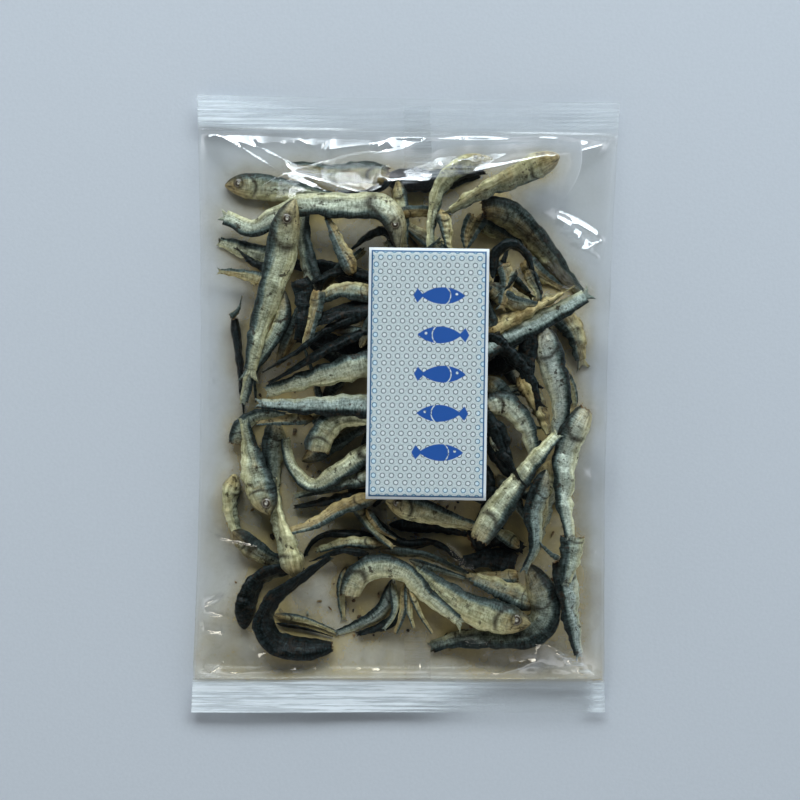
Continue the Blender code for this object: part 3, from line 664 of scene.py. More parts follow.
def paint_skin(shade, surface):
    """Dried skin: blue-black back, silver flank, cream belly, gold head, with dark flecks, and painted shade
    in its creases and hollows.
    """
    place = shade.node("TexCoord", {}, output=3)
    along, rise, raw = shade.attribute("body", 1).split()
    dark, gold, pale = shade.attribute("lot", 1).split()
    painted_shade_and_eye_ring = shade.attribute("painted_shade_and_eye_ring")
    skin_place = shade.attribute("skin", 1)
    across = shade.node("VectorMath", {0: skin_place, 1: (2100.0, 330.0, 1.0)}, operation="MULTIPLY")
    lengthwise = shade.node("VectorMath", {0: skin_place, 1: (170.0, 1500.0, 1.0)}, operation="MULTIPLY")
    ribs = shade.noise(across, 1.0, 3.0, 0.6)
    threads = shade.noise(lengthwise, 1.0, 3.0, 0.6)
    broad = shade.noise(place, 170.0, 4.0)
    fine = shade.noise(place, 1100.0, 4.0, 0.65) * 0.4 + ribs * 0.35 + threads * 0.25
    streak = shade.noise(place, 520.0, 5.0, 0.6) * 0.5 + threads * 0.5
    cool = fine.step(0.36, 0.66).between((0.25, 0.31, 0.27), (0.82, 0.91, 0.84))
    warm = fine.step(0.36, 0.66).between((0.25, 0.26, 0.13), (0.84, 0.86, 0.58))
    silver = gold.step(0.1, 0.5).between(cool, warm)
    steel = fine.step(0.38, 0.66).between((0.040, 0.062, 0.052), (0.26, 0.34, 0.31))
    cream = streak.step(0.36, 0.62).between((0.30, 0.27, 0.10), (0.80, 0.76, 0.44))
    amber = streak.step(0.36, 0.62).between((0.13, 0.075, 0.022), (0.46, 0.33, 0.13))
    navy = fine.step(0.42, 0.70).between((0.0012, 0.0018, 0.001), (0.026, 0.042, 0.045))
    wander = (broad - 0.5) * 0.9 + (streak - 0.5) * 0.5
    flank = pale.between(steel, silver)
    skin = ((rise + wander).step(-0.15, -0.75) * (0.35 + gold * 0.65)).between(flank, cream)
    skin = ((broad - 0.5 + gold * 0.75).step(0.25, 0.8) * 0.8).between(skin, amber)
    head = (along.step(0.26, 0.08) * (0.35 + gold * 0.5)).between(skin, amber)
    skin = ((rise + wander * 0.6).step(0.25, 0.62) * along.step(0.02, 0.2)).between(head, steel)
    skin = ((rise + wander * 0.5 + dark * 0.25).step(0.5, 0.85) * (1 - gold * 0.4)).between(skin, navy)
    skin = (dark * 1.1 + (broad - 0.5) * 0.9).step(0.45, 0.95).between(skin, navy)
    flecks = shade.noise(place, 430.0, 3.0, 0.7).step(0.56, 0.64)
    flecks = flecks * shade.noise(place, 120.0, 2.0).step(0.42, 0.56)
    skin = (flecks * 0.85).between(skin, (0.030, 0.020, 0.012))
    # Painted shade darkens the gill slits, mouths, eye sockets, grooves, broken ends and every other fin ray.
    skin = (painted_shade_and_eye_ring * 0.9).between(skin, (0.020, 0.014, 0.009))
    gut = streak.step(0.35, 0.65).between((0.035, 0.018, 0.008), (0.30, 0.17, 0.07))
    skin = raw.between(skin, gut)
    relief = fine * 1.1 + streak * 0.6 + broad * 0.8
    feed(surface, Base_Color=skin, Roughness=0.10 + broad * 0.26 + fine * 0.22 + painted_shade_and_eye_ring * 0.2,
         Metallic=pale * 0.35 * (1 - rise.step(0.2, 0.7) * 0.5) * (1 - gold * 0.6),
         Normal=shade.bump(relief, 0.0003, 0.9), Specular_IOR_Level=0.11)


def paint_eye(shade, surface):
    """A clouded eye: white lens with a painted glint in its middle, brown-black ring and silver rim."""
    spot = shade.attribute("painted_shade_and_eye_ring")
    # The white middle is the clouded lens with a painted glint on it.
    iris = shade.node("ValToRGB", {"Fac": spot}, stops=(
        (0.0, (0.80, 0.77, 0.68)), (0.30, (0.60, 0.55, 0.43)), (0.40, (0.035, 0.026, 0.018)),
        (0.74, (0.05, 0.035, 0.02)), (0.86, (0.26, 0.23, 0.16)), (0.97, (0.05, 0.038, 0.024))))
    feed(surface, Base_Color=iris, Roughness=0.22)


skin_finish = finish("dried_skin", paint_skin)
eye_finish = finish("clouded_eye", paint_eye)
FILL_COUNT = 34
FILL_FROM, FILL_TO = (-34, -36), (38, 64)
fill = Heap()
for _ in range(FILL_COUNT):
    spot = chance.uniform(FILL_FROM, FILL_TO)
    way = chance.uniform(0, math.pi)
    half = np.array((math.cos(way), math.sin(way))) * chance.uniform(20, 28)
    bend = np.array((-half[1], half[0])) * chance.uniform(-0.25, 0.25)
    shape = (spot - half, spot + bend, spot + half)
    tint = (GREY, OLIVE, BLACK, BROWN)[chance.integers(0, 4)]
    make_fish(fill, tint, chance.uniform(10, 170), chance.uniform(6.5, 9), shape, CRUSHED)
lowest, low, upper = Heap(), Heap(), Heap()
LOWEST_COUNT, LOW_COUNT = 44, 76    # where the list is cut into three pieces
for number, (tint, roll, depth, shape, head) in enumerate(FISH):
    layer = lowest if number < LOWEST_COUNT else low if number < LOW_COUNT else upper
    make_fish(layer, tint, roll, depth, shape, head)
layers = {"fish_underneath": fill, "fish_lowest": lowest, "fish_low": low, "fish_on_top": upper}
for name, fish in layers.items():
    piece = fish.piece(name, skin_finish, eye_finish)
    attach(piece, "root")
    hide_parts("bag")

# Crumbs: flakes of skin, fins and gut that broke off, and lie on the back film between the fish.
CRUMB_COUNT, CRUMB_SIDES = 420, 6
CRUMB_MIDDLE, CRUMB_SPREAD, CRUMB_REACH = (-2, -22), (36, 42), (61, 88)
crumbs = Heap()
for _ in range(CRUMB_COUNT):
    spot = chance.normal(CRUMB_MIDDLE, CRUMB_SPREAD)
    if np.any(np.abs(spot) > CRUMB_REACH):
        continue
    size = chance.uniform(0.25, 0.75) ** 2 * 2.6 * MM
    turns = np.linspace(0, 2 * math.pi, CRUMB_SIDES, endpoint=False) + chance.uniform(0, 1)
    rim = np.column_stack((np.cos(turns), np.sin(turns) * chance.uniform(0.25, 0.9), np.zeros(CRUMB_SIDES)))
    rim = rim * size * chance.uniform(0.6, 1.2, (CRUMB_SIDES, 1))
    lean = chance.uniform(0, 6.28)
    turned = (math.cos(lean), math.sin(lean), 0), (-math.sin(lean), math.cos(lean), 0), (0, 0, 1)
    rim = rim @ np.array(turned)
    base = np.array((*(spot * MM + HEAP_PLACE), LOWEST + 0.1 * MM))
    points = np.vstack((base + rim, base + (0, 0, size * 0.35 + 0.15 * MM)))
    faces = [(k, (k + 1) % CRUMB_SIDES, CRUMB_SIDES) for k in range(CRUMB_SIDES)]
    dark, gold = chance.uniform(0.2, 1), chance.uniform(0.3, 1)
    body = np.tile((0.5, 0.0, chance.uniform(0, 0.8)), (CRUMB_SIDES + 1, 1))
    crumbs.add(points, faces, body, (dark, gold, 0.3), points, np.zeros(CRUMB_SIDES + 1))
crumb_piece = crumbs.piece("crumbs", skin_finish)
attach(crumb_piece, "root")
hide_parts("bag")

# The bag: one sheet of clear film made into a tube with a seam up its back, and crimped shut at
# both ends. It is drawn over the heap, with air in it, and creases run out of its corners.
TOP_LEFT, TOP_RIGHT = np.array((-73.6, 109.0)) * MM, np.array((75.7, 106.1)) * MM
BOTTOM_LEFT, BOTTOM_RIGHT = np.array((-75.7, -109.0)) * MM, np.array((70.4, -109.0)) * MM
BAG_LENGTH, BAG_HALF_WIDTH = 218.0 * MM, 73.0 * MM
WAIST = 2.6 * MM
FILM_TOP, SIDE_HEIGHT = 18.6 * MM, 7.5 * MM
BACK_HEIGHT, BACK_SIDE_REACH, BACK_END_REACH = 0.5 * MM, 3.5 * MM, 4.0 * MM
SEAL_WIDTH, SEAL_HEIGHT, SEAL_GAP = 12.0 * MM, 4.0 * MM, 0.12 * MM
CRIMPS, CRIMP_DEPTH, SEAL_SWAY = 8, 0.06 * MM, 0.5 * MM
SIDE_BLUR = 0.4 * MM         # the soft edge of a fold's bright side
LABEL_PLACE = np.array((7.5, 10.2)) * MM
LABEL_SIZE = np.array((41.4, 86.6)) * MM
LABEL_TURN = math.radians(-0.8)
LABEL_UNDER = 21.25 * MM
TOP_COLUMNS, BACK_COLUMNS, POUCH_ROWS, SEAL_ROWS = 246, 44, 262, 30

inner_along = 1.0 - SEAL_WIDTH / (BAG_LENGTH / 2)
seal_rows = np.linspace(1.0, inner_along, SEAL_ROWS)
pouch_rows = np.linspace(-inner_along, inner_along, POUCH_ROWS)[1:-1]
rows_along = np.concatenate((-seal_rows, pouch_rows, seal_rows[::-1]))
into_seal = np.clip((np.abs(rows_along) - inner_along) / (1 - inner_along), 0, 1)


def filled(along):
    """How much of its full height the bag has at a place along it, from 0 at a seal."""
    from_seal = np.clip(inner_along - np.abs(along), 0, None) * BAG_LENGTH / 2 / MM
    return 0.33 * (1 - np.exp(-from_seal / 1.4)) + 0.67 * np.tanh(from_seal / 42.0)


def on_bag(across, along):
    """The place on the table under points of the bag, across and along it from -1 to 1."""
    share = ((along + 1) / 2)[:, None]
    left = BOTTOM_LEFT * (1 - share) + TOP_LEFT * share
    right = BOTTOM_RIGHT * (1 - share) + TOP_RIGHT * share
    drawn_in = WAIST * (1.0 - along**2)
    left[:, 0] += drawn_in
    right[:, 0] -= drawn_in
    across = ((across + 1) / 2)[None, :, None]
    return left[:, None, :] * (1 - across) + right[:, None, :] * across


def columns_across(count, crowding):
    """Columns from one side of the bag to the other, closer together towards the sides."""
    quarter = math.pi / 2 * crowding
    return np.sin(np.linspace(-1, 1, count) * quarter) / math.sin(quarter)


def spread_grid(grid, reach, pick):
    """A grid's highest (or mean, or other pick) over a square window."""
    for axis in (0, 1):
        padded = np.pad(grid, [(reach, reach) if a == axis else (0, 0) for a in (0, 1)], mode="edge")
        size = grid.shape[axis]
        grid = pick([np.take(padded, range(k, k + size), axis) for k in range(2 * reach + 1)], axis=0)
    return grid


def read_grid(grid, place):
    """The grid's value at places, in straight lines between its patches."""
    spot = place / PATCH + np.array(PATCHES) / 2
    low = np.clip(np.floor(spot).astype(int), 0, np.array(PATCHES) - 2)
    part = np.clip(spot - low, 0, 1)
    i, j, u, v = low[..., 0], low[..., 1], part[..., 0], part[..., 1]
    near, far = (grid[i, k] * (1 - u) + grid[i + 1, k] * u for k in (j, j + 1))
    return near * (1 - v) + far * v


def by_fold(place, start, end):
    """How far along a fold each place is, from 0 to 1, and how far to the left of its way."""
    start, end = (np.array(p) * MM + HEAP_PLACE for p in (start, end))
    length = np.hypot(*(end - start))
    way = (end - start) / length
    offset = place - start
    return offset @ way / length, offset @ np.array((-way[1], way[0]))


def crease(place, start, end, width, height):
    """A sharp-backed fold in the film from one place to another, in millimetres."""
    run, aside = by_fold(place, start, end)
    fade = np.clip(run * 6, 0, 1) * np.clip((1 - run) * 2.5, 0, 1)
    return height * MM * fade / (1 + (aside / (width * MM)) ** 2)


def pleat(place, start, end, width, slope):
    """A fold with a flat side to the left of its way, and where that side is; ends in millimetres."""
    run, aside = by_fold(place, start, end)
    reach = width * MM * np.sin(math.pi * np.clip(run, 0, 1)) ** 0.6
    behind = reach * np.exp(np.minimum(aside, 0) / (0.9 * width * MM))
    rise = np.where(aside > 0, np.clip(reach - aside, 0, None), behind)
    on_side = np.clip((reach - aside) / SIDE_BLUR, 0, 1) * np.clip(aside / SIDE_BLUR + 1, 0, 1)
    return slope * rise, on_side * (reach > 0)


film_chance = np.random.default_rng(21)
columns = columns_across(TOP_COLUMNS, 0.93)
ground = on_bag(columns, rows_along)
full = filled(rows_along)[:, None]
from_side = np.clip(1.0 - np.abs(columns), 0, None)[None, :] * BAG_HALF_WIDTH / MM
roundness = 0.38 * (1 - np.exp(-from_side / 2.0)) + 0.62 * np.tanh(from_side / 40.0)
edge = SEAL_HEIGHT + (SIDE_HEIGHT - SEAL_HEIGHT) * full
upper_film = edge + (FILM_TOP - edge) * full * roundness
# The film is pushed up by the heap, and lies flat under the label.
cover_grid = spread_grid(spread_grid(spread_grid(heap, 16, np.max), 16, np.mean), 12, np.mean) + 0.3 * MM
over_heap = np.minimum(read_grid(cover_grid, ground), LABEL_UNDER - 0.2 * MM)
in_pouch = full * roundness > 0.02
upper_film = np.where(in_pouch, np.maximum(upper_film, over_heap), upper_film)
off_label = np.abs(ground - LABEL_PLACE) - LABEL_SIZE / 2
from_label = np.hypot(np.clip(off_label[..., 0], 0, None), np.clip(off_label[..., 1], 0, None))
under_label = np.exp(-(from_label / (13.0 * MM)) ** 2)
upper_film = upper_film + (LABEL_UNDER - 0.15 * MM - upper_film) * under_label

CREASES = (
    ((-28.8, 89), (-10, 92), 0.7, 0.5), ((-12, 91), (-2, 94.5), 0.6, 0.5),
    ((-11, 89), (-4, 93), 0.6, 0.4), ((-43, 84), (-20, 75), 1.4, 0.7), ((-22.5, 76), (-12, 73), 0.6, 0.6),
    ((-12.2, 73.3), (-1, 79), 0.6, 0.6), ((-10, 79), (17, 76), 2.0, 1.0),
    ((-38, 95), (-30, 89), 0.8, 0.4), ((-66.5, -45), (-47.5, -48.5), 0.6, 0.8),
    ((-65, -43), (-49, -46.5), 0.5, 0.6), ((-71, -70), (-62, -65), 1.0, 0.9),
    ((-71, -71), (-62, -73), 0.7, 0.7), ((-72, -76), (-58, -77), 0.5, 0.5),
    ((-71, -78), (-63, -79), 0.6, 0.6), ((-64, -77), (-63, -81), 0.5, 0.5),
    ((-70, -95.5), (-58, -86.5), 0.5, 0.8), ((-63, -88), (-60, -83), 0.4, 0.4),
    ((-70, -97), (-50, -92), 1.0, 0.7), ((66, -50), (71, -53), 0.8, 0.5),
    ((9, -94.8), (31, -95.4), 0.5, 0.6), ((29, -95.4), (50, -88.4), 0.6, 0.9),
    ((-67, 16), (-65, 13), 0.6, 0.3), ((-67, 10), (-65, 7), 0.6, 0.3), ((68, -8), (70, -10), 0.6, 0.3),
)
# Flat-sided folds that catch the light: ends, width and slope of the side left of their way.
PLEATS = (
    ((-71.5, 99.5), (-42, 80.5), 1.3, 0.34), ((-46, 83), (-22, 72), 1.0, 0.34),
    ((-62, 95), (-38, 84), 1.3, 0.28), ((38, 94.2), (-10, 94.5), 1.8, 0.76),
    ((62, 94.4), (16, 93.9), 1.8, 0.74), ((80, 95.0), (46, 94.2), 1.8, 0.52),
    ((65, 91), (76, 96.6), 1.8, 0.12), ((50, 85.6), (71, 92.0), 2.2, 0.40),
    ((44, 86), (60, 88.6), 1.8, 0.34), ((20, 79), (55, 88), 3.2, 0.34), ((51, 68.5), (72, 57), 2.4, 0.34),
    ((48, 67), (60, 62.6), 2.6, 0.45), ((51.5, 63.8), (63.5, 59), 2.4, 0.45),
    ((54.5, 60.4), (66.5, 55.4), 2.4, 0.45), ((57.5, 56.4), (69, 51.5), 2.6, 0.45),
    ((62, 54), (71.5, 58), 1.6, 0.45), ((48, -82), (57, -85), 2.2, 0.72),
    ((52, -85.5), (61, -88.5), 2.4, 0.72), ((56, -89), (66, -92), 2.6, 0.72),
    ((60, -92.5), (70, -95.5), 2.4, 0.72), ((52, -93), (66, -96.5), 1.6, 0.75),
    ((29, -95), (48, -88), 1.1, 0.72), ((-47.5, -48.8), (-66.5, -44.5), 1.2, 0.26),
    ((-62, -65), (-71, -70), 2.0, 0.30), ((-60, -73), (-71, -71), 1.4, 0.30),
    ((-62, -79), (-71, -77), 1.2, 0.28), ((-57, -86.5), (-63, -88.5), 1.0, 0.26),
    ((-62, -90), (-67.5, -92.5), 1.0, 0.26), ((-66, -94), (-71, -96), 1.0, 0.26),
)
# Creased flat facets painted whiter, a painted reflection of the lights: corners counted anticlockwise, and
# how white each is.
PAINTED_GLINT_FACETS = (
    (((-1.4, 75.6), (27.5, 80.4), (29.6, 85.2), (1.3, 84.1)), 0.34),
    (((-40.6, 81.2), (-19.7, 72), (-19.7, 78.3), (-41.5, 84.5)), 0.34),
    (((52.6, -85.6), (56.8, -92.6), (67, -95.8), (62, -90.5)), 0.45),
    (((30, -96), (46, -98), (50, -88.5), (44, -91)), 0.16),
    (((55, 59), (64, 53), (68, 57), (55, 65)), 0.22),
)
wrinkles, pleated, lit_sides = (np.zeros(ground.shape[:2]) for _ in range(3))
for fold in CREASES:
    wrinkles += crease(ground, *fold)
for fold in PLEATS:
    rise, flat_side = pleat(ground, *fold)
    pleated += rise
    lit_sides = np.maximum(lit_sides, flat_side)
# Fine creases run out of the corners, and in from the end seals and the sides.
CORNERS = (((-72, 96), -35), ((72, 94), -145), ((-72, -96), 35), ((69, -96), 145))
CORNER_CREASES, END_CREASES, SIDE_CREASES = 7, 46, 30
END_LINE, SIDE_LINE = 96.5, 69
for corner, inward in CORNERS:
    for _ in range(CORNER_CREASES):
        way = math.radians(inward + film_chance.uniform(-38, 38))
        reach = film_chance.uniform(14, 42)
        end = (corner[0] + math.cos(way) * reach, corner[1] + math.sin(way) * reach)
        width, height = film_chance.uniform(0.8, 2.2), film_chance.uniform(0.15, 0.5)
        wrinkles += crease(ground, corner, end, width, height)
for _ in range(END_CREASES):
    x, end_side = film_chance.uniform(-66, 66), film_chance.choice((-1, 1))
    start = (x, end_side * END_LINE)
    end = (x + film_chance.uniform(-5, 5), end_side * (96 - film_chance.uniform(6, 20)))
    wrinkles += crease(ground, start, end, film_chance.uniform(0.8, 2.6), film_chance.uniform(0.1, 0.5))
for _ in range(SIDE_CREASES):
    y, side = film_chance.uniform(-85, 85), film_chance.choice((-1, 1))
    start = (side * SIDE_LINE, y)
    end = (side * (SIDE_LINE - film_chance.uniform(5, 16)), y + film_chance.uniform(-6, 6))
    wrinkles += crease(ground, start, end, film_chance.uniform(0.6, 1.6), film_chance.uniform(0.05, 0.25))
clear_of_seal = np.clip(full * 3.0, 0, 1)
upper_film = upper_film + (wrinkles + pleated) * clear_of_seal * np.clip(1 - under_label * 1.6, 0, 1)
# No fish comes through it.
floor_of_film = read_grid(spread_grid(heap, 1, np.max), ground) + 0.12 * MM
upper_film = np.where(in_pouch & (under_label < 0.5), np.maximum(upper_film, floor_of_film), upper_film)

in_seal = np.clip(into_seal * 8, 0, 1)


def seal_lift(place):
    """The crimps of both end seals and the slow wave that they lie in, at places of one film."""
    crimp = CRIMP_DEPTH * np.sin(into_seal * CRIMPS * 2 * math.pi)[:, None]
    return crimp + SEAL_SWAY * np.sin(place[..., 0] * 70 + np.sign(rows_along)[:, None]) * in_seal[:, None]


upper_film = upper_film + seal_lift(ground) + SEAL_GAP

back_columns = columns_across(BACK_COLUMNS, 0.9)[-2:0:-1]
back_ground = on_bag(back_columns, rows_along)
# The back film curves in from the edge, and then lies flat on the table.
from_back_side = np.clip(1.0 - np.abs(back_columns), 0, None)[None, :] * BAG_HALF_WIDTH
from_back_end = np.clip(inner_along - np.abs(rows_along), 0, None)[:, None] * BAG_LENGTH / 2
flatness = (1 - np.exp(-from_back_end / BACK_END_REACH)) * (1 - np.exp(-from_back_side / BACK_SIDE_REACH))
back_film = np.maximum(BACK_HEIGHT, edge * (1.0 - 1.45 * flatness))
back_film = back_film + seal_lift(back_ground) - SEAL_GAP * in_seal[:, None]

loop = np.concatenate((np.dstack((ground, upper_film)), np.dstack((back_ground, back_film))), axis=1)
row_count, loop_count = loop.shape[:2]


def paint_film(shade, surface):
    """Clear glossy film, milky in the crimped seals, with painted reflection there and on creased facets, and
    tinted brown on the back.
    """
    place = shade.node("TexCoord", {}, output=3)
    seal, brown_tint = shade.attribute("seal"), shade.attribute("brown_tint")
    streaks = shade.node("Mapping", {"Vector": place, "Scale": (34.0, 1150.0, 100.0)})
    streak = shade.noise(streaks, 1.0, 4.0, 0.6)
    cloud = shade.noise(place, 55.0, 4.0, 0.6)
    grain = shade.noise(place, 1400.0, 3.0, 0.7)
    ripple = shade.noise(place, 90.0, 3.0, 0.5)
    bump = shade.bump(ripple, 0.0006, 0.35)
    # The white share is the seals' haze with painted reflection, and painted glints on the creased facets.
    diffuse_share = seal * (0.22 + streak.step(0.40, 0.66) * 0.62) + brown_tint * (0.38 + cloud.step(0.3, 0.75) * 0.45)
    diffuse_share = diffuse_share + brown_tint * grain.step(0.60, 0.72) * 0.35 + 0.001
    haze_glint_and_tint_colour = (brown_tint * 6.0).step(0.0, 1.0).between((0.86, 0.925, 0.97), (0.56, 0.43, 0.16))
    feed(surface, Base_Color=haze_glint_and_tint_colour, Roughness=0.45)
    gloss = shade.node("BsdfPrincipled", {"Base Color": (1.0, 1.0, 1.0, 1.0), "Metallic": 1.0,
                                          "Roughness": 0.045, "Normal": bump})
    clear = shade.node("BsdfTransparent", {"Color": (0.992, 0.995, 0.992, 1.0)})
    slant = shade.node("LayerWeight", {"Blend": 0.5, "Normal": bump}, output=1)
    shine = slant ** 5.0 * 0.85 + 0.026 + shade.attribute("fold") * 0.16
    film = shade.node("MixShader", {0: shine, 1: clear, 2: gloss})
    return shade.node("MixShader", {0: diffuse_share, 1: film, 2: Shade(shade.tree, surface.outputs[0])})


film = mesh_piece("bag_film", loop.reshape(-1, 3), grid_faces(row_count, loop_count),
                  finish("clear_film", paint_film))
# The seals are painted white, partly their crimped haze and partly painted reflection of the lights:
# the top seal at its left end and a little at its right, the bottom one from the left to past its
# middle, and again at its right corner.
loop_x, up_seal = loop[..., 0] / MM, into_seal[:, None]
top_left_fan = np.exp(-(np.maximum(loop_x + 72, 0) / (40 - 22 * up_seal)) ** 2)
top_seal_haze_and_glare = 0.10 + top_left_fan + 0.2 * np.exp(-((loop_x - 70) / 12) ** 2)
bottom_left_band = 1 / (1 + np.exp((loop_x - 18 + 14 * up_seal) / 6))
bottom_seal_haze_and_glare = 0.05 + 2.0 * bottom_left_band + 0.9 * np.exp(-((loop_x - 68) / 3) ** 2)
seal_haze_and_glint = in_seal[:, None] * np.where(rows_along[:, None] > 0, top_seal_haze_and_glare, bottom_seal_haze_and_glare)
# The facets get painted reflection, in the same white as the seals.
for corners, glint_whiteness in PAINTED_GLINT_FACETS:
    inside = np.ones((row_count, TOP_COLUMNS))
    for (ax, ay), (bx, by) in zip(corners, corners[1:] + corners[:1]):
        across = (bx - ax) * (ground[..., 1] / MM - ay) - (by - ay) * (ground[..., 0] / MM - ax)
        inside = np.minimum(inside, np.clip(across / math.hypot(bx - ax, by - ay) / 0.6 + 0.5, 0, 1))
    seal_haze_and_glint[:, :TOP_COLUMNS] = np.maximum(seal_haze_and_glint[:, :TOP_COLUMNS], inside * glint_whiteness)
# The back film is tinted brown, more under the heap and towards the bottom seal.
heaped = spread_grid(spread_grid((heap > HEAP_FLOOR * 1.5).astype(float), 9, np.mean), 7, np.mean)
low_end = np.clip(-back_ground[..., 1] / (95 * MM), 0, 1) ** 1.5
back_brown_tint = np.clip(read_grid(heaped, back_ground) * 1.1 + 0.5 * low_end + 0.12, 0, 1)
brown_tint_value, fold_value = np.zeros((2, row_count, loop_count))
brown_tint_value[:, TOP_COLUMNS:] = (1.0 - in_seal[:, None]) * back_brown_tint
folded = np.clip(np.maximum(wrinkles / (0.45 * MM) - 0.25, lit_sides), 0, 1) * clear_of_seal
# Film that lies against oily fish shines less than the free film near the top seal.
FREE_FILM_FROM = 66
against_fish = 1 / (1 + np.exp((ground[..., 1] / MM - FREE_FILM_FROM) / 4))
fold_value[:, :TOP_COLUMNS] = folded - 0.13 * against_fish * (1 - folded)
for label, values in (("seal", seal_haze_and_glint), ("brown_tint", brown_tint_value), ("fold", fold_value)):
    layer = film.data.attributes.new(label, "FLOAT", "POINT")
    layer.data.foreach_set("value", values.astype(np.float32).ravel())
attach(film, "root")
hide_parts("bag")

# The back seam: the two edges of the sheet, sealed face to face and folded flat to one side under
# the bag. It shows through the film as a paler strip, crossing the end seals.
SEAM_LEFT, SEAM_RIGHT = -0.5 * MM, 9.0 * MM
SEAM_TOP, SEAM_BOTTOM = 0.30 * MM, 0.06 * MM
SEAM_STEPS = 90
seam_points = []
for share in np.linspace(-0.995, 0.995, SEAM_STEPS):
    y = BOTTOM_LEFT[1] + (TOP_RIGHT[1] - BOTTOM_LEFT[1]) * (share + 1) / 2
    free_edge = SEAM_RIGHT + 0.25 * MM * math.sin(share * 31) + 0.15 * MM * math.sin(share * 77)
    seam_points += [(SEAM_LEFT, y, SEAM_TOP), (free_edge, y, SEAM_TOP * 0.8), (free_edge, y, SEAM_BOTTOM),
                    (SEAM_LEFT, y, SEAM_BOTTOM)]


def paint_seam(shade, surface):
    """Two layers of film pressed together, with fine cross ribs."""
    place = shade.node("TexCoord", {}, output=3)
    across = shade.node("Mapping", {"Vector": place, "Scale": (60.0, 1400.0, 60.0)})
    ribs = shade.noise(across, 1.0, 3.0, 0.6)
    feed(surface, Base_Color=(0.80, 0.86, 0.90), Roughness=0.4, Normal=shade.bump(ribs, 0.0002))
    clear = shade.node("BsdfTransparent", {"Color": (1.0, 1.0, 1.0, 1.0)})
    diffuse_share = ribs.step(0.42, 0.68) * 0.12 + 0.03    # the ribs are whiter than the film between them
    return shade.node("MixShader", {0: diffuse_share, 1: clear, 2: Shade(shade.tree, surface.outputs[0])})


seam = mesh_piece("back_seam", seam_points, grid_faces(SEAM_STEPS, 4), finish("seam_film", paint_seam))
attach(seam, "root")
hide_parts("bag")

# The label: a tall card of matt paper stuck on the front film, with a blue frame line printed
# inside its white margin, small rings over a grey-blue field, and a column of plain blue fish.
LABEL_THICKNESS = 0.12 * MM
LABEL_STEPS = (16, 34)
us, vs = (np.linspace(-0.5, 0.5, n) for n in LABEL_STEPS)
sheet_u, sheet_v = np.meshgrid(us, vs, indexing="ij")
cockle = 0.05 * MM * np.sin(sheet_u * 7 + 1) * np.cos(sheet_v * 9)
sheet = [np.dstack((sheet_u * LABEL_SIZE[0], sheet_v * LABEL_SIZE[1], cockle + side * LABEL_THICKNESS / 2))
         for side in (1, -1)]
# The print's sizes are in millimetres, from the label's middle.
FIELD_START = (-60.0, -60.5)                # beyond the label's corner
RING_PITCH, ROW_PITCH = 3.1, 2.42
RING_RADIUS, RING_LINE = 0.78, 0.15
MARGIN, FRAME_LINE = 1.15, 0.5
EDGE = 0.04                                 # how soft a printed edge is
MOTIF_PLACES = ((5.0, 27.0, 1), (4.0, 13.5, -1), (5.5, 0.0, 1), (4.0, -13.5, -1), (5.0, -27.0, 1))
BODY_ARC, ARC_SINK = 11.5, 8.6              # a motif's back and belly are arcs of this radius
EYE_AHEAD, EYE_RISE, EYE_RADIUS = 4.7, 0.5, 0.48
GILL_RADIUS, GILL_BACK = 3.6, 1.0


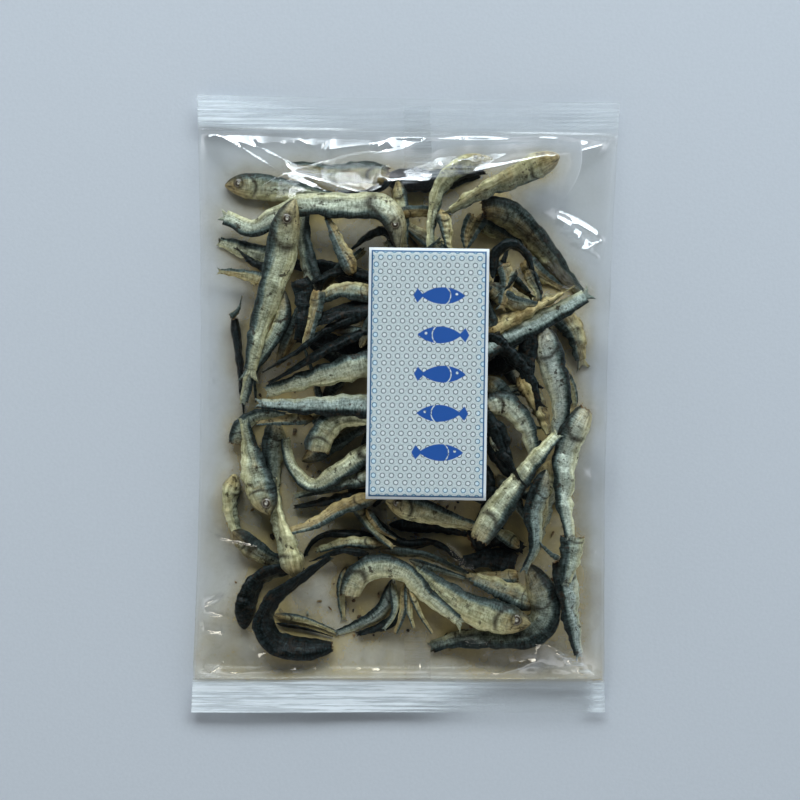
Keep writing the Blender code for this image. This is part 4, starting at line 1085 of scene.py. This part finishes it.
def paint_label(shade, surface):
    """Printed matt paper: the rings, the column of motifs, the frame line and the bare margin."""
    place = shade.node("TexCoord", {}, output=3)
    x, y = (part * 1000.0 for part in place.split()[:2])
    row_at = y - FIELD_START[1]
    row = shade.math("FLOOR", row_at / ROW_PITCH)
    ring_x = (x - FIELD_START[0] + (row % 2.0) * (RING_PITCH / 2)) % RING_PITCH - RING_PITCH / 2
    ring_y = row_at % ROW_PITCH - ROW_PITCH / 2
    radius = (ring_x * ring_x + ring_y * ring_y) ** 0.5
    ring = abs(radius - RING_RADIUS).step(RING_LINE + EDGE, RING_LINE - EDGE)
    hole = radius.step(RING_RADIUS, RING_RADIUS - 0.1)
    from_side, from_end = (float(size) * 500 - abs(at) for size, at in zip(LABEL_SIZE, (x, y)))
    inset = shade.math("MINIMUM", from_side, from_end)
    grain = shade.noise(place, 2600.0, 2.0, 0.8)
    field = grain.step(0.35, 0.65).between((0.44, 0.52, 0.53), (0.66, 0.73, 0.74))
    near_frame = inset.step(MARGIN + 3.4, MARGIN + 1.2)
    pale = near_frame.between((0.76, 0.81, 0.83), (0.60, 0.80, 0.92))
    printed = (hole * 0.7).between(field, pale)
    printed = ring.between(printed, near_frame.between((0.085, 0.125, 0.14), (0.03, 0.16, 0.27)))
    blue = 0.0
    for at_x, at_y, way in MOTIF_PLACES:
        ahead, rise = (x - at_x) * float(way), y - at_y
        off_middle = abs(rise)
        sunk = off_middle + ARC_SINK
        body = ((ahead * ahead + sunk * sunk) ** 0.5).step(BODY_ARC + 0.06, BODY_ARC - 0.06)
        tail = (ahead + off_middle * 0.9 + 6.6).step(0.06, -0.06)
        tail = tail * (ahead - off_middle * 0.55 + 10.2).step(-0.06, 0.06)
        from_eye, over_eye = ahead - EYE_AHEAD, rise - EYE_RISE
        eye = ((from_eye * from_eye + over_eye * over_eye) ** 0.5).step(EYE_RADIUS - 0.06, EYE_RADIUS + 0.06)
        from_gill = ahead + GILL_BACK
        gill = abs((from_gill * from_gill + off_middle * off_middle) ** 0.5 - GILL_RADIUS).step(0.24, 0.14)
        shape = shade.math("MAXIMUM", body, tail) * eye * (1 - gill * ahead.step(0.4, 0.6))
        blue = shade.math("MAXIMUM", blue, shape)
    printed = blue.between(printed, (0.003, 0.078, 0.35))
    frame_line = abs(inset - MARGIN).step(FRAME_LINE / 2 + 0.06, FRAME_LINE / 2 - 0.06)
    printed = inset.step(MARGIN, MARGIN - 0.05).between(printed, (0.77, 0.825, 0.84))
    printed = frame_line.between(printed, (0.01, 0.09, 0.22))
    feed(surface, Base_Color=printed, Roughness=0.6, Normal=shade.bump(grain, 0.00003))


label = mesh_piece("paper_label", np.reshape(sheet, (-1, 3)), sheet_faces(*LABEL_STEPS),
                   finish("printed_paper", paint_label))
label.location = (*LABEL_PLACE, LABEL_UNDER + 0.2 * MM)
label.rotation_euler = (0, 0, LABEL_TURN)
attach(label, "root")
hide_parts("label")

bpy.context.view_layer.update()
